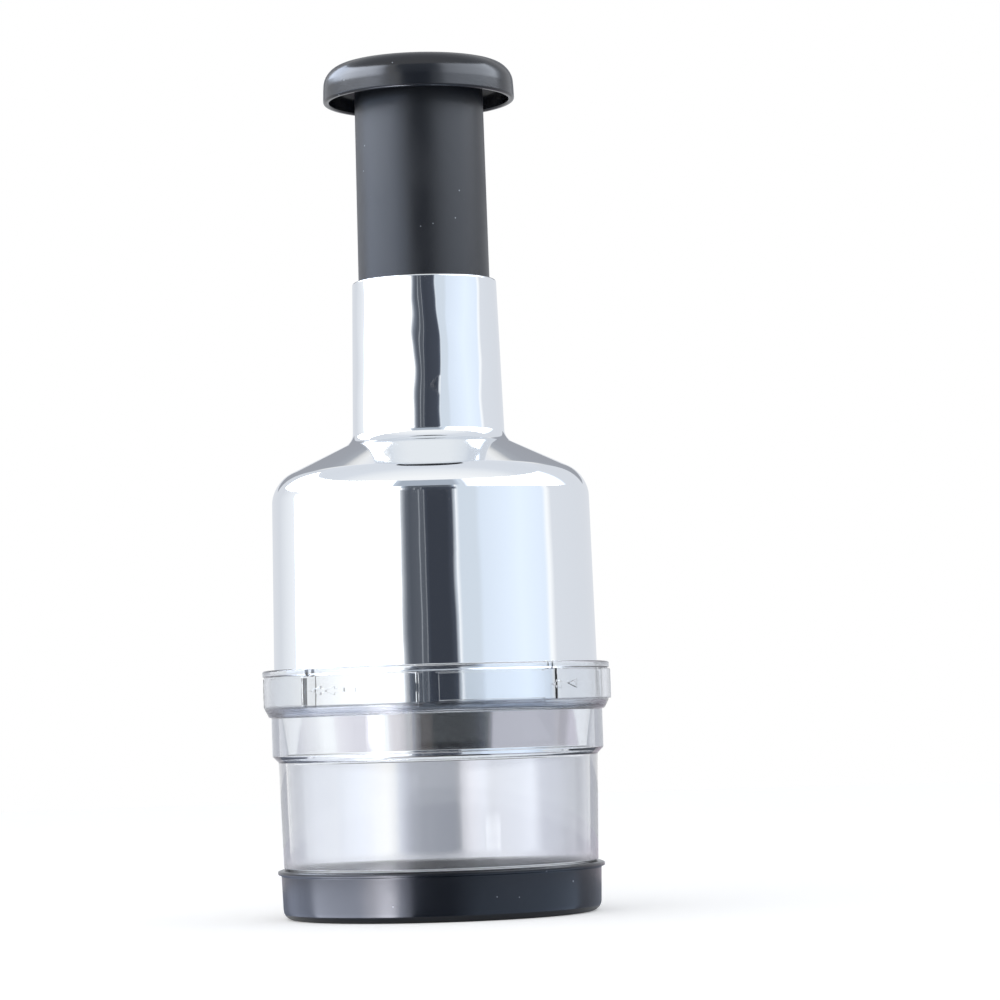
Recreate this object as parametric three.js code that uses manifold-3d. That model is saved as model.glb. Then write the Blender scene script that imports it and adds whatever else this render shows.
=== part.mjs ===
// A hand-pressed vegetable chopper, in millimetres, standing on z = 0 with its axis on Z.
// The front is -Y. An azimuth in degrees starts at the front and grows towards +X.
// A knob on a plunger tube drives a shaft down through a fixed helical nut, so the zigzag
// blades under it are pressed into the clear cup and turn an eighth of a turn at each press.
// A spring inside the tube lifts them again. A bayonet holds the chromed housing in the cup,
// and a press-fit cap closes the cup's foot.

import * as THREE from 'three';
import { mergeVertices } from 'three/addons/utils/BufferGeometryUtils.js';
import Module from 'manifold-3d';

const wasm = await Module();
wasm.setup();

// Clearances, and how far a cutting solid runs past the face that it cuts
const play = 0.3;
const seatGap = 0.1;
const overrun = 1;

// Facets
const shellSides = 36;
const tubeSides = 28;
const hubSides = 16;
const screwSides = 8;
const arcStepDegrees = 30;
const sectorStepDegrees = 9;

// Press
const stroke = 38;
const bladeTurnDegrees = 45;
const bladeFloorGap = 0.4;

// Base cap
const capHeight = 12.2;
const capWall = 1.3;
const capDraftDegrees = 1.9;
const capFootRound = 2.5;
const capFootWidth = 3.8;
const capRecess = 0.8;
const capFloorThickness = 1.2;
const capFillet = 0.8;
const capBeadHeight = 1.4;
const capBeadReach = 0.8;

// Clear cup
const cupBore = 36.8;
const spigotWall = 1.3;
const cupSeatWidth = 0.82;
const cupWall = 2;
const cupDraftDegrees = 1.5;
const chamberHeight = 26.3;
const cupStepRise = 1.4;
const cupRound = 0.6;
const skirtWindowHeight = 9.6;
const collarHeight = 11.6;
const collarFloor = 0.8;
const collarWall = 1.15;
const collarRound = 1;
const padRise = 0.75;
const padMargin = 1.1;

// Bayonet
const lugCount = 4;
const lugStartDegrees = 2;
const lugSpanDegrees = 38;
const lugReach = 1;
const lugHeight = 6.5;
const channelFloor = 1.7;
const bayonetTurnDegrees = 43;
const entrySlackDegrees = 2;
const stopStartDegrees = -3.5;
const stopSpanDegrees = 4.5;

// Chromed housing
const skirtDip = 0.6;
const skirtFlare = 1.45;
const skirtWall = 1.5;
const ledgeWidth = 1.5;
const ledgeThickness = 1.5;
const bodyHeight = 57;
const bodyWall = 1.8;
const bodyDraftDegrees = 0.85;
const shoulderRound = 8;
const shoulderSlopeDegrees = 25.5;
const neckHeight = 39.9;
const neckWall = 1.3;
const neckDraftDegrees = 1.4;
const neckFillet = 3.5;
const neckRimRound = 0.5;
const bossCount = 3;
const bossRadius = 3.8;
const bossMerge = 0.4;
const bossAzimuth = 30;

// Plunger tube
const tubeRadius = 16.4;
const tubeWall = 1.6;
const tubeDraftDegrees = 0.35;
const flangeReach = 2.35;
const flangeThickness = 2;
const crownThickness = 3;
const crownDrop = 4.9;

// Knob cap
const knobRadius = 24;
const knobGap = 7.45;
const knobDepth = 6.5;
const knobSideHeight = 8.4;
const knobCrownRise = 2.9;
const knobCrownRadius = 11.5;
const knobDish = 0.6;
const knobEdgeRound = 4.6;
const knobInnerRound = 3.4;
const knobRimRound = 0.5;
const knobWall = 1.5;
const knobRoof = 3.2;
const plugWall = 1.5;
const plugDepth = 4.3;

// Blade shaft
const shaftCore = 3.6;
const shaftRibRadius = 5.2;
const shaftRibDegrees = 28;
const shaftRibFlankDegrees = 8;
const shaftRibs = 3;
const shaftRadius = 4.5;
const spigotRadius = 3;
const tenonSide = 7;
const helixRun = 6.1;
const helixSteps = 10;
const shaftHole = 1.9;
const shaftHoleDepth = 12;

// Index nut and its pawls
const nutWall = 3.8;
const toothDepth = 1.2;
const toothCount = 12;
const pocketDepth = 6.2;
const pawlRoom = 3.1;
const pawlThickness = 1.1;
const pawlSpanDegrees = 40;
const pawlGapDegrees = 2;
const pawlCount = 2;
const pawlSteps = 5;

// Nut cover
const coverGap = 1.4;
const coverThickness = 1.8;
const coverFlange = 5.5;
const coverScrewCount = 2;
const coverScrewAzimuth = 90;

// Mechanism plate
const plateThickness = 3;
const hubWall = 1.9;
const hubRoof = 1.6;
const hubFillet = 1;
const towerHeight = 26.2;
const towerWall = 2.6;
const towerPlay = 0.7;
const springSeatThickness = 3;
const springSeatReach = 1;
const noseHeight = 6;
const noseRound = 1.5;
const ribThickness = 1.6;
const ribRise = 3.2;
const ribMargin = 7;
const gussetCount = 4;
const coverBossRadius = 3;
const coverBossRise = 4;

// Return spring
const wireRadius = 0.8;
const springTurns = 12;
const springSteps = 10;
const springSamples = 24;
const wireSides = 5;
const springBorePlay = 0.7;
const springEndGap = 0.5;

// Zigzag blades and their carrier
const bladeCount = 3;
const bladeHeight = 16.3;
const bladeThickness = 0.6;
const bladeEdgeHeight = 1.2;
const bladeEdgeWidth = 0.06;
const bladeMargin = 2.8;
const bladeRoot = 9.5;
const foldRadius = 2.2;
const foldSteps = 3;
const zigzagDegrees = [-52, -27, 0, 27, 52];
const carrierThickness = 3;
const carrierEdgeRound = 0.8;
const carrierEdgeGap = 1;
const carrierHubRadius = 8;
const carrierHubRise = 2.5;
const carrierHubDrop = 2;
const carrierHubFloor = 1.9;
const clampHeight = 5;
const clampWall = 1.1;
const carrierRibs = 6;
const carrierRibRise = 1.5;
const carrierRibMargin = 4;

// Screws and washers
const screwHeadRound = 0.6;
const plateScrewHead = 2.8;
const plateScrewHeadHeight = 1.8;
const plateScrewShank = 1.4;
const plateScrewLength = 13;
const coverScrewHead = 2.4;
const coverScrewHeadHeight = 1.2;
const coverScrewShank = 1.1;
const coverScrewLength = 7.5;
const shaftScrewHead = 3.6;
const shaftScrewHeadHeight = 2.2;
const shaftScrewShank = 1.6;
const shaftScrewLength = 10;
const washerRadius = 5.5;
const washerThickness = 1;

const radians = THREE.MathUtils.degToRad;
const slope = (degrees) => Math.tan(radians(degrees));

// Levels from the table up: cap, cup and bayonet
const capFloorTop = capRecess + capFloorThickness;
const seatLevel = capHeight + play;
const stepLevel = seatLevel + chamberHeight;
const stepTop = stepLevel + cupStepRise;
const collarLevel = stepTop + skirtWindowHeight;
const collarTop = collarLevel + collarHeight;
const ledgeLevel = collarLevel + collarFloor + play;
const lugLevel = ledgeLevel + channelFloor;
const lugTop = lugLevel + lugHeight;

// Radii from the cup's bore outwards
const spigotOuter = cupBore + spigotWall;
const capBore = spigotOuter + play;
const capRimRadius = capBore + capWall;
const capFootRadius = capRimRadius - capHeight * slope(capDraftDegrees);
const cupSeatRadius = spigotOuter + cupSeatWidth;
const cupStepRadius = cupSeatRadius + chamberHeight * slope(cupDraftDegrees);
const skirtFootRadius = cupStepRadius - cupWall - play;
const skirtTopRadius = skirtFootRadius + skirtFlare;
const windowBore = skirtTopRadius + play;
const windowRadius = windowBore + cupWall;
const bodyRadius = skirtTopRadius + ledgeWidth;
const collarBore = bodyRadius + play;
const lugRadius = bodyRadius + lugReach;
const channelRadius = lugRadius + play;
const collarRadius = channelRadius + collarWall;

// Housing
const skirtFootLevel = stepLevel - skirtDip;
const shoulderLevel = ledgeLevel + bodyHeight;
const shoulderRadius = bodyRadius - bodyHeight * slope(bodyDraftDegrees);
const neckTopRadius = tubeRadius + play + neckWall;
const neckBaseRadius = neckTopRadius + neckHeight * slope(neckDraftDegrees);
const shoulderRise = (shoulderRadius - neckBaseRadius) * slope(shoulderSlopeDegrees);
const neckBaseLevel = shoulderLevel + shoulderRise;
const neckTopLevel = neckBaseLevel + neckHeight;
const bodyBoreAt = (level) => bodyRadius - bodyWall - (level - ledgeLevel) * slope(bodyDraftDegrees);
const innerConeAt = (radius) => {
  const drop = bodyWall / Math.cos(radians(shoulderSlopeDegrees));
  return shoulderLevel - drop + (shoulderRadius - radius) * slope(shoulderSlopeDegrees);
};

// Knob and plunger tube
const tubeRadiusAt = (level) => tubeRadius - (level - neckTopLevel) * slope(tubeDraftDegrees);
const knobRimLevel = neckTopLevel + stroke + knobGap;
const knobCeiling = knobRimLevel + knobDepth;
const tubeTop = knobCeiling - play;
const crownTop = tubeTop - crownDrop;
const crownLevel = crownTop - crownThickness;
const tubeBore = tubeRadiusAt(tubeTop) - tubeWall;
const flangeRadius = tubeRadius + flangeReach;
const flangeTop = innerConeAt(flangeRadius) - play;

// Blades, carrier, cover, nut and plate, each standing clear of the one below it
const bladeLevel = capFloorTop + stroke + bladeFloorGap;
const bladeTop = bladeLevel + bladeHeight;
const carrierLevel = bladeTop + play;
const carrierTop = carrierLevel + carrierThickness;
const carrierHubTop = carrierTop + carrierHubRise;
const carrierHubLevel = carrierLevel - carrierHubDrop;
const coverLevel = carrierHubTop + coverGap;
const plateLevel = coverLevel + coverThickness + play;
const plateTop = plateLevel + plateThickness;
const pocketTop = plateLevel + pocketDepth;
const nutTop = pocketTop - play;
const hubTop = pocketTop + hubRoof;
const springSeatLevel = hubTop + towerHeight;

const carrierRadius = skirtFootRadius - skirtWall - carrierEdgeGap;
const bladeReach = carrierRadius - bladeMargin;
const toothRoot = shaftRibRadius + play + nutWall;
const toothTip = toothRoot + toothDepth;
const pocketRadius = toothTip + pawlRoom;
const hubRadius = pocketRadius + hubWall;
const coverRadius = hubRadius + coverFlange;
const coverScrewCircle = (hubRadius + coverRadius) / 2;
const plateRadius = bodyBoreAt(plateTop) - play;
const bossCircle = bodyBoreAt(plateTop) - bossRadius + bossMerge;
const towerBore = shaftRibRadius + towerPlay;
const springRadius = tubeBore - springBorePlay - wireRadius;

const helixLevel = carrierHubTop + play;
const helixTop = nutTop + stroke + helixRun;
const twistAt = (level) => (-bladeTurnDegrees * (level - helixLevel)) / stroke;

// A point at a radius and an azimuth
function polar(radius, degrees) {
  const angle = radians(degrees);
  return new THREE.Vector2(radius * Math.sin(angle), -radius * Math.cos(angle));
}

// The points of a closed outline whose corners are [x, y, round]
function outline(corners) {
  return corners.flatMap(([x, y, round = 0], i) => {
    const here = new THREE.Vector2(x, y);
    if (round === 0) return [here];
    const before = new THREE.Vector2(...corners.at(i - 1).slice(0, 2)).sub(here).normalize();
    const after = new THREE.Vector2(...corners[(i + 1) % corners.length].slice(0, 2)).sub(here).normalize();
    const half = Math.acos(before.dot(after)) / 2;
    const way = Math.sign(after.cross(before));
    const middle = before.clone().add(after).normalize().multiplyScalar(round / Math.sin(half)).add(here);
    const start = before.multiplyScalar(round / Math.tan(half)).add(here).sub(middle);
    const turn = Math.PI - 2 * half;
    const steps = Math.max(1, Math.ceil(turn / radians(arcStepDegrees)));
    return Array.from({ length: steps + 1 }, (_, k) => {
      const angle = start.angle() + (way * turn * k) / steps;
      return new THREE.Vector2(Math.cos(angle), Math.sin(angle)).multiplyScalar(round).add(middle);
    });
  });
}

// A closed mesh as a solid, with its shared vertices merged and its empty triangles dropped
function solidOf(geometry) {
  const bare = geometry.clone();
  bare.deleteAttribute('normal');
  bare.deleteAttribute('uv');
  const merged = mergeVertices(bare);
  const triVerts = [];
  for (let i = 0; i < merged.index.count; i += 3) {
    const [a, b, c] = merged.index.array.slice(i, i + 3);
    if (a !== b && b !== c && c !== a) triVerts.push(a, b, c);
  }
  const vertProperties = new Float32Array(merged.attributes.position.array);
  return new wasm.Manifold(
    new wasm.Mesh({ numProp: 3, vertProperties, triVerts: new Uint32Array(triVerts) }),
  );
}

// A solid as a mesh again
function geometryOf(solid) {
  const { vertProperties, triVerts } = solid.getMesh();
  const geometry = new THREE.BufferGeometry();
  geometry.setAttribute('position', new THREE.BufferAttribute(new Float32Array(vertProperties), 3));
  geometry.setIndex(new THREE.BufferAttribute(new Uint32Array(triVerts), 1));
  geometry.computeVertexNormals();
  return geometry;
}

function join(first, ...others) {
  return geometryOf(others.reduce((sum, other) => sum.add(solidOf(other)), solidOf(first)));
}

function cut(first, ...tools) {
  return geometryOf(tools.reduce((rest, tool) => rest.subtract(solidOf(tool)), solidOf(first)));
}

function common(first, second) {
  return geometryOf(solidOf(first).intersect(solidOf(second)));
}

// Copies at even azimuths round the axis
function around(count, make, first = 0) {
  return Array.from({ length: count }, (_, k) => make(k).rotateZ(radians(first + (360 * k) / count)));
}

// A profile of [radius, level, round] corners turned round the axis
function lathe(corners, sides) {
  const points = outline(corners);
  if (THREE.ShapeUtils.area(points) < 0) points.reverse();
  points.push(points[0].clone());
  return geometryOf(solidOf(new THREE.LatheGeometry(points, sides).rotateX(Math.PI / 2)));
}

// A round post or hole, at a radius in front of the axis
function post(radius, bottom, top, circle, sides) {
  const corners = [[0, bottom], [radius, bottom], [radius, top], [0, top]];
  return lathe(corners, sides).translate(0, -circle, 0);
}

function extrude(shape, bottom, top, curveSegments) {
  const depth = top - bottom;
  return new THREE.ExtrudeGeometry(shape, { depth, bevelEnabled: false, curveSegments }).translate(0, 0, bottom);
}

// Part of a ring, from an azimuth over a span
function sector(inner, outer, bottom, top, start, span) {
  const from = radians(start) - Math.PI / 2;
  const to = from + radians(span);
  const shape = new THREE.Shape();
  shape.absarc(0, 0, outer, from, to, false);
  shape.absarc(0, 0, inner, to, from, true);
  return extrude(shape, bottom, top, Math.ceil(span / sectorStepDegrees / 2));
}

// A straight rib in front of the axis, pointing away from it
function rib(thickness, inner, outer, bottom, top) {
  const box = new THREE.BoxGeometry(thickness, outer - inner, top - bottom);
  return box.translate(0, -(inner + outer) / 2, (bottom + top) / 2);
}

// A skin over like rings of points, closed at both ends with the section's own triangles
function loft(rings, section) {
  const sides = section.length;
  const last = (rings.length - 1) * sides;
  const index = [];
  for (let ring = 0; ring < last; ring += sides) {
    for (let side = 0; side < sides; side += 1) {
      const next = (side + 1) % sides;
      index.push(ring + side, ring + next, ring + sides + next);
      index.push(ring + side, ring + sides + next, ring + sides + side);
    }
  }
  for (const [a, b, c] of THREE.ShapeUtils.triangulateShape(section, [])) {
    index.push(a, c, b, last + a, last + b, last + c);
  }
  const geometry = new THREE.BufferGeometry().setFromPoints(rings.flat());
  geometry.setIndex(index);
  return geometry;
}

// A section carried along a level path of { x, y, heading }, as [offset to the left, level]
function sweep(path, section) {
  const rings = path.map(({ x, y, heading }) =>
    section.map(([side, level]) =>
      new THREE.Vector3(x - side * Math.sin(heading), y + side * Math.cos(heading), level)));
  return loft(rings, section.map(([side, level]) => new THREE.Vector2(side, level)));
}

// The cap under the cup: foot ring, shallow wall and a bead round the rim
function makeBaseCap() {
  const footInner = capFootRadius - capFootRound - capFootWidth;
  const beadLevel = capHeight - capBeadHeight;
  const beadTip = capRimRadius + capBeadReach;
  const beadFoot = capRimRadius - capBeadHeight * slope(capDraftDegrees);
  return lathe([
    [0, capRecess],
    [footInner, capRecess],
    [footInner, 0],
    [capFootRadius, 0, capFootRound],
    [beadFoot, beadLevel],
    [beadTip, beadLevel + capBeadHeight / 3],
    [beadTip, capHeight - capBeadHeight / 3],
    [capRimRadius, capHeight],
    [capBore, capHeight],
    [capBore, capFloorTop, capFillet],
    [0, capFloorTop],
  ], shellSides);
}

// The clear cup: spigot, chamber, window round the skirt, and a collar with bayonet channels
function makeClearCup() {
  const shell = lathe([
    [cupBore, capFloorTop + play],
    [spigotOuter, capFloorTop + play],
    [spigotOuter, seatLevel],
    [cupSeatRadius, seatLevel],
    [cupStepRadius, stepLevel, cupRound],
    [windowRadius, stepTop, cupRound],
    [windowRadius, collarLevel],
    [collarRadius, collarLevel, collarRound],
    [collarRadius, collarTop, collarRound],
    [collarBore, collarTop],
    [collarBore, collarLevel + collarFloor],
    [windowBore, collarLevel + collarFloor],
    [windowBore, stepTop, cupRound],
    [cupStepRadius - cupWall, stepLevel, cupRound],
  ], shellSides);
  const inside = (windowBore + collarBore) / 2;
  const pitch = 360 / lugCount;
  const stopEnd = stopStartDegrees + stopSpanDegrees;
  const entryStart = lugStartDegrees + bayonetTurnDegrees - entrySlackDegrees;
  const entrySpan = lugSpanDegrees + 2 * entrySlackDegrees;
  const padInside = channelRadius + collarWall / 2;
  const pads = around(lugCount, () => sector(
    padInside, collarRadius + padRise, collarLevel + padMargin + collarFloor / 2, collarTop - padMargin,
    entryStart, entrySpan,
  ));
  const channels = around(lugCount, () => sector(
    inside, channelRadius, lugLevel - play, lugTop + play, stopEnd, pitch - stopSpanDegrees,
  ));
  const entries = around(lugCount, () => sector(
    inside, channelRadius, lugLevel, collarTop + overrun, entryStart, entrySpan,
  ));
  return cut(join(shell, ...pads), ...channels, ...entries);
}

// The chromed housing: skirt, ledge, body, shoulder cone and neck, with lugs and screw bosses
function makeHousingShell() {
  const outer = lathe([
    [0, skirtFootLevel],
    [skirtFootRadius, skirtFootLevel],
    [skirtTopRadius, ledgeLevel],
    [bodyRadius, ledgeLevel],
    [shoulderRadius, shoulderLevel, shoulderRound],
    [neckBaseRadius, neckBaseLevel, neckFillet],
    [neckTopRadius, neckTopLevel, neckRimRound],
    [0, neckTopLevel],
  ], shellSides);
  const neckBoreBase = neckBaseRadius - neckWall;
  const innerShoulder = shoulderRadius - bodyWall;
  const ledgeTop = ledgeLevel + ledgeThickness;
  const inner = lathe([
    [0, skirtFootLevel - overrun],
    [skirtFootRadius - skirtWall, skirtFootLevel - overrun],
    [skirtFootRadius - skirtWall, skirtFootLevel],
    [skirtTopRadius - skirtWall, ledgeTop],
    [bodyBoreAt(ledgeTop), ledgeTop],
    [innerShoulder, innerConeAt(innerShoulder), shoulderRound - bodyWall],
    [neckBoreBase, innerConeAt(neckBoreBase)],
    [neckTopRadius - neckWall, neckTopLevel],
    [neckTopRadius - neckWall, neckTopLevel + overrun],
    [0, neckTopLevel + overrun],
  ], shellSides);
  const bossFoot = plateTop + play;
  const bosses = around(
    bossCount,
    () => post(bossRadius, bossFoot, neckBaseLevel, bossCircle, hubSides / 2),
    bossAzimuth,
  );
  const holeTop = bossFoot + plateScrewLength;
  const holes = around(
    bossCount,
    () => post(plateScrewShank + play, bossFoot - overrun, holeTop, bossCircle, screwSides),
    bossAzimuth,
  );
  const lugs = around(lugCount, () => sector(
    bodyRadius - bodyWall / 2, lugRadius, lugLevel, lugTop, lugStartDegrees, lugSpanDegrees,
  ));
  return cut(
    join(cut(outer, inner), ...lugs, ...bosses.map((boss) => common(boss, outer))),
    ...holes,
  );
}

// The plunger tube: a tapered tube with a retaining flange at its foot and a crown near its top
function makePlungerTube() {
  const flangeBottom = flangeTop - flangeThickness;
  const footRadius = tubeRadiusAt(flangeTop);
  const coneTop = flangeTop + (flangeRadius - footRadius) * slope(shoulderSlopeDegrees);
  return lathe([
    [footRadius - tubeWall, flangeBottom],
    [flangeRadius, flangeBottom],
    [flangeRadius, flangeTop],
    [footRadius, coneTop],
    [tubeRadiusAt(tubeTop), tubeTop],
    [tubeBore, tubeTop],
    [tubeBore, crownTop],
    [spigotRadius + play, crownTop],
    [spigotRadius + play, crownLevel],
    [tubeBore, crownLevel],
  ], tubeSides);
}

// The knob: a domed cap with a deep rolled rim and a plug ring that presses into the tube
function makeKnobCap() {
  const top = knobRimLevel + knobSideHeight + knobCrownRise;
  const ceiling = top - knobRoof;
  const plugRadius = tubeBore - play;
  const plugFoot = knobCeiling - plugDepth;
  return lathe([
    [0, ceiling],
    [plugRadius - plugWall, ceiling],
    [plugRadius - plugWall, plugFoot],
    [plugRadius, plugFoot],
    [plugRadius, knobCeiling],
    [knobRadius - knobWall, knobCeiling, knobInnerRound],
    [knobRadius - knobWall, knobRimLevel],
    [knobRadius, knobRimLevel, knobRimRound],
    [knobRadius, knobRimLevel + knobSideHeight, knobEdgeRound],
    [knobCrownRadius, top - knobDish],
    [0, top],
  ], shellSides);
}

// The outline of the helical section, with a clearance round it
function shaftOutline(gap) {
  const half = shaftRibDegrees / 2 + THREE.MathUtils.radToDeg(gap / shaftRibRadius);
  const foot = half + shaftRibFlankDegrees;
  const ribPoints = [[-foot, shaftCore], [-half, shaftRibRadius], [0, shaftRibRadius], [half, shaftRibRadius]];
  const valley = [[foot, shaftCore], [180 / shaftRibs, shaftCore]];
  return Array.from({ length: shaftRibs }, (_, k) =>
    [...ribPoints, ...valley].map(([degrees, radius]) => polar(radius + gap, degrees + (360 * k) / shaftRibs)),
  ).flat();
}

// The helical section between two levels
function helix(gap, bottom, top, steps) {
  const section = shaftOutline(gap);
  const rings = Array.from({ length: steps + 1 }, (_, k) => {
    const level = THREE.MathUtils.lerp(bottom, top, k / steps);
    const turn = radians(twistAt(level));
    return section.map((point) => {
      const { x, y } = point.clone().rotateAround(new THREE.Vector2(), turn);
      return new THREE.Vector3(x, y, level);
    });
  });
  return loft(rings, section);
}

// The blade shaft: square tenon, helical section, round shank and a spigot through the crown
function makeBladeShaft() {
  const tenonLevel = carrierHubLevel + carrierHubFloor + play;
  const merge = seatGap;
  const tenon = new THREE.BoxGeometry(tenonSide, tenonSide, helixLevel + merge - tenonLevel);
  tenon.translate(0, 0, (tenonLevel + helixLevel + merge) / 2);
  const shank = lathe([
    [0, helixTop - merge],
    [shaftRadius, helixTop - merge],
    [shaftRadius, crownLevel - seatGap],
    [spigotRadius, crownLevel - seatGap],
    [spigotRadius, crownTop + seatGap],
    [0, crownTop + seatGap],
  ], hubSides);
  const lowerHole = post(shaftHole, tenonLevel - overrun, tenonLevel + shaftHoleDepth, 0, screwSides);
  const upperHole = post(shaftHole, crownTop - shaftHoleDepth, crownTop + overrun, 0, screwSides);
  const body = join(helix(0, helixLevel, helixTop, helixSteps), tenon, shank);
  return cut(body, lowerHole, upperHole);
}

// The index nut: saw teeth that the pawls catch, round a bore that follows the helix
function makeIndexNut() {
  const pitch = 360 / toothCount;
  const teeth = Array.from({ length: toothCount }, (_, k) => {
    return [[0, toothRoot], [0, toothTip], [0.5, (toothRoot + toothTip) / 2]]
      .map(([share, radius]) => polar(radius, pitch * (k + share)));
  }).flat();
  const blank = extrude(new THREE.Shape(teeth), plateLevel, nutTop);
  return cut(blank, helix(play, plateLevel - overrun, nutTop + overrun, 2));
}

// A curved pawl inside the nut's pocket, its tip ahead of a tooth and its root in the wall
function makePawl(tipDegrees) {
  const tip = toothRoot + play + seatGap;
  const root = pocketRadius - pawlThickness / 2;
  const side = (offset) => Array.from({ length: pawlSteps + 1 }, (_, k) => {
    const share = k / pawlSteps;
    return polar(THREE.MathUtils.lerp(tip, root, share) + offset, tipDegrees - pawlSpanDegrees * share);
  });
  const shape = new THREE.Shape([...side(0), ...side(pawlThickness).reverse()]);
  return extrude(shape, plateLevel + play, nutTop);
}

// The mechanism plate: disc, pocket hub, spring tower, ribs, gussets, bosses and pawls
function makeMechanismPlate() {
  const towerRadius = towerBore + towerWall;
  const seatRadius = springRadius + springSeatReach;
  const noseRadius = springRadius - wireRadius - 3 * play;
  const seatFoot = springSeatLevel - springSeatThickness;
  const disc = lathe([
    [pocketRadius, plateLevel],
    [plateRadius, plateLevel],
    [plateRadius, plateTop],
    [hubRadius, plateTop, hubFillet],
    [hubRadius, hubTop],
    [towerRadius, hubTop, hubFillet],
    [towerRadius, seatFoot],
    [seatRadius, seatFoot],
    [seatRadius, springSeatLevel],
    [noseRadius, springSeatLevel],
    [noseRadius, springSeatLevel + noseHeight, noseRound],
    [towerBore, springSeatLevel + noseHeight],
    [towerBore, pocketTop],
    [pocketRadius, pocketTop],
  ], tubeSides);
  const ribFoot = plateTop - plateThickness / 2;
  const ribEnd = plateRadius - ribMargin;
  const ribs = around(bossCount, () => rib(ribThickness, hubRadius - hubWall / 2, ribEnd, ribFoot, plateTop + ribRise),
    bossAzimuth + 180 / bossCount);
  const gussets = around(gussetCount, () => rib(
    ribThickness, towerRadius - towerWall / 2, seatRadius - springSeatReach,
    hubTop - hubRoof / 2, seatFoot + springSeatThickness / 2,
  ));
  const bosses = around(coverScrewCount,
    () => post(coverBossRadius, ribFoot, plateTop + coverBossRise, coverScrewCircle, screwSides),
    coverScrewAzimuth);
  const pitch = 360 / toothCount;
  const pawls = around(pawlCount, () => makePawl(pitch - pawlGapDegrees));
  const plateHoles = around(bossCount,
    () => post(plateScrewShank + play, plateLevel - overrun, plateTop + overrun, bossCircle, screwSides),
    bossAzimuth);
  const coverHoles = around(coverScrewCount,
    () => post(coverScrewShank + play, plateLevel - overrun, plateTop + coverBossRise + overrun,
      coverScrewCircle, screwSides),
    coverScrewAzimuth);
  return cut(join(disc, ...ribs, ...gussets, ...bosses, ...pawls), ...plateHoles, ...coverHoles);
}

// The cover under the nut, a washer-like disc with two screw holes
function makeNutCover() {
  const disc = lathe([
    [towerBore, coverLevel],
    [coverRadius, coverLevel],
    [coverRadius, coverLevel + coverThickness],
    [towerBore, coverLevel + coverThickness],
  ], tubeSides);
  const holes = around(coverScrewCount,
    () => post(coverScrewShank + play, coverLevel - overrun, plateLevel, coverScrewCircle, screwSides),
    coverScrewAzimuth);
  return cut(disc, ...holes);
}

// A pan-head screw whose head seats at a level, with its shank pointing up (1) or down (-1)
function makeScrew(seat, way, head, headHeight, shank, length) {
  return lathe([
    [0, seat - way * headHeight],
    [head, seat - way * headHeight, screwHeadRound],
    [head, seat],
    [shank, seat],
    [shank, seat + way * length],
    [0, seat + way * length],
  ], screwSides);
}

function makeWasher(bottom) {
  return lathe([
    [shaftScrewShank + play, bottom],
    [washerRadius, bottom],
    [washerRadius, bottom + washerThickness],
    [shaftScrewShank + play, bottom + washerThickness],
  ], hubSides);
}

// The spring's centre line: close end turns, and open turns between them
function springPoint(turn) {
  const endPitch = 2 * wireRadius + springEndGap;
  const bottom = springSeatLevel + play + wireRadius;
  const top = crownLevel - play - wireRadius;
  const openPitch = (top - bottom - 2 * endPitch) / (springTurns - 2);
  const open = THREE.MathUtils.clamp(turn - 1, 0, springTurns - 2);
  const level = bottom + endPitch * (turn - open) + openPitch * open;
  const { x, y } = polar(springRadius, 360 * turn);
  return new THREE.Vector3(x, y, level);
}

// The return spring: one unbroken round wire
function makeReturnSpring() {
  const section = Array.from({ length: wireSides }, (_, k) => {
    const angle = (2 * Math.PI * k) / wireSides;
    return new THREE.Vector2(Math.cos(angle), Math.sin(angle)).multiplyScalar(wireRadius);
  });
  const rings = Array.from({ length: springTurns * springSteps + 1 }, (_, k) => {
    const turn = k / springSteps;
    const middle = springPoint(turn);
    const ahead = springPoint(turn + 0.01).sub(springPoint(turn - 0.01)).normalize();
    const outward = new THREE.Vector3(middle.x, middle.y, 0).normalize();
    const upward = ahead.clone().cross(outward);
    return section.map(({ x, y }) => middle.clone().addScaledVector(outward, x).addScaledVector(upward, y));
  });
  return loft(rings, section);
}

// The least gap between neighbouring turns of the spring, measured on points of its wire
function springGap() {
  const samples = springTurns * springSamples;
  const line = Array.from({ length: samples + 1 }, (_, k) => springPoint(k / springSamples));
  let least = Infinity;
  line.forEach((point, i) => {
    line.slice(i + springSamples / 2).forEach((other) => {
      least = Math.min(least, point.distanceTo(other));
    });
  });
  return least - 2 * wireRadius;
}

// The zigzag line of one blade: round folds in and out, joined by straight tangent legs
function zigzag() {
  const last = zigzagDegrees.length - 1;
  const folds = zigzagDegrees.map((degrees, i) => {
    const end = i === 0 || i === last;
    const round = end ? 0 : foldRadius;
    const outward = i % 2 === 0;
    const middle = polar(outward ? bladeReach - round : bladeRoot + round, degrees);
    return { middle, round: outward ? round : -round };
  });
  const headings = folds.slice(0, last).map((fold, i) => {
    const next = folds[i + 1];
    const leg = next.middle.clone().sub(fold.middle);
    return leg.angle() - Math.asin((next.round - fold.round) / leg.length());
  });
  return folds.flatMap(({ middle, round }, i) => {
    const into = headings[Math.max(i - 1, 0)];
    const out = headings[Math.min(i, last - 1)];
    const turn = Math.atan2(Math.sin(out - into), Math.cos(out - into));
    const steps = round === 0 ? 0 : foldSteps;
    return Array.from({ length: steps + 1 }, (_, k) => {
      const heading = into + (steps === 0 ? 0 : (turn * k) / steps);
      return { x: middle.x + round * Math.sin(heading), y: middle.y - round * Math.cos(heading), heading };
    });
  });
}

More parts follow.
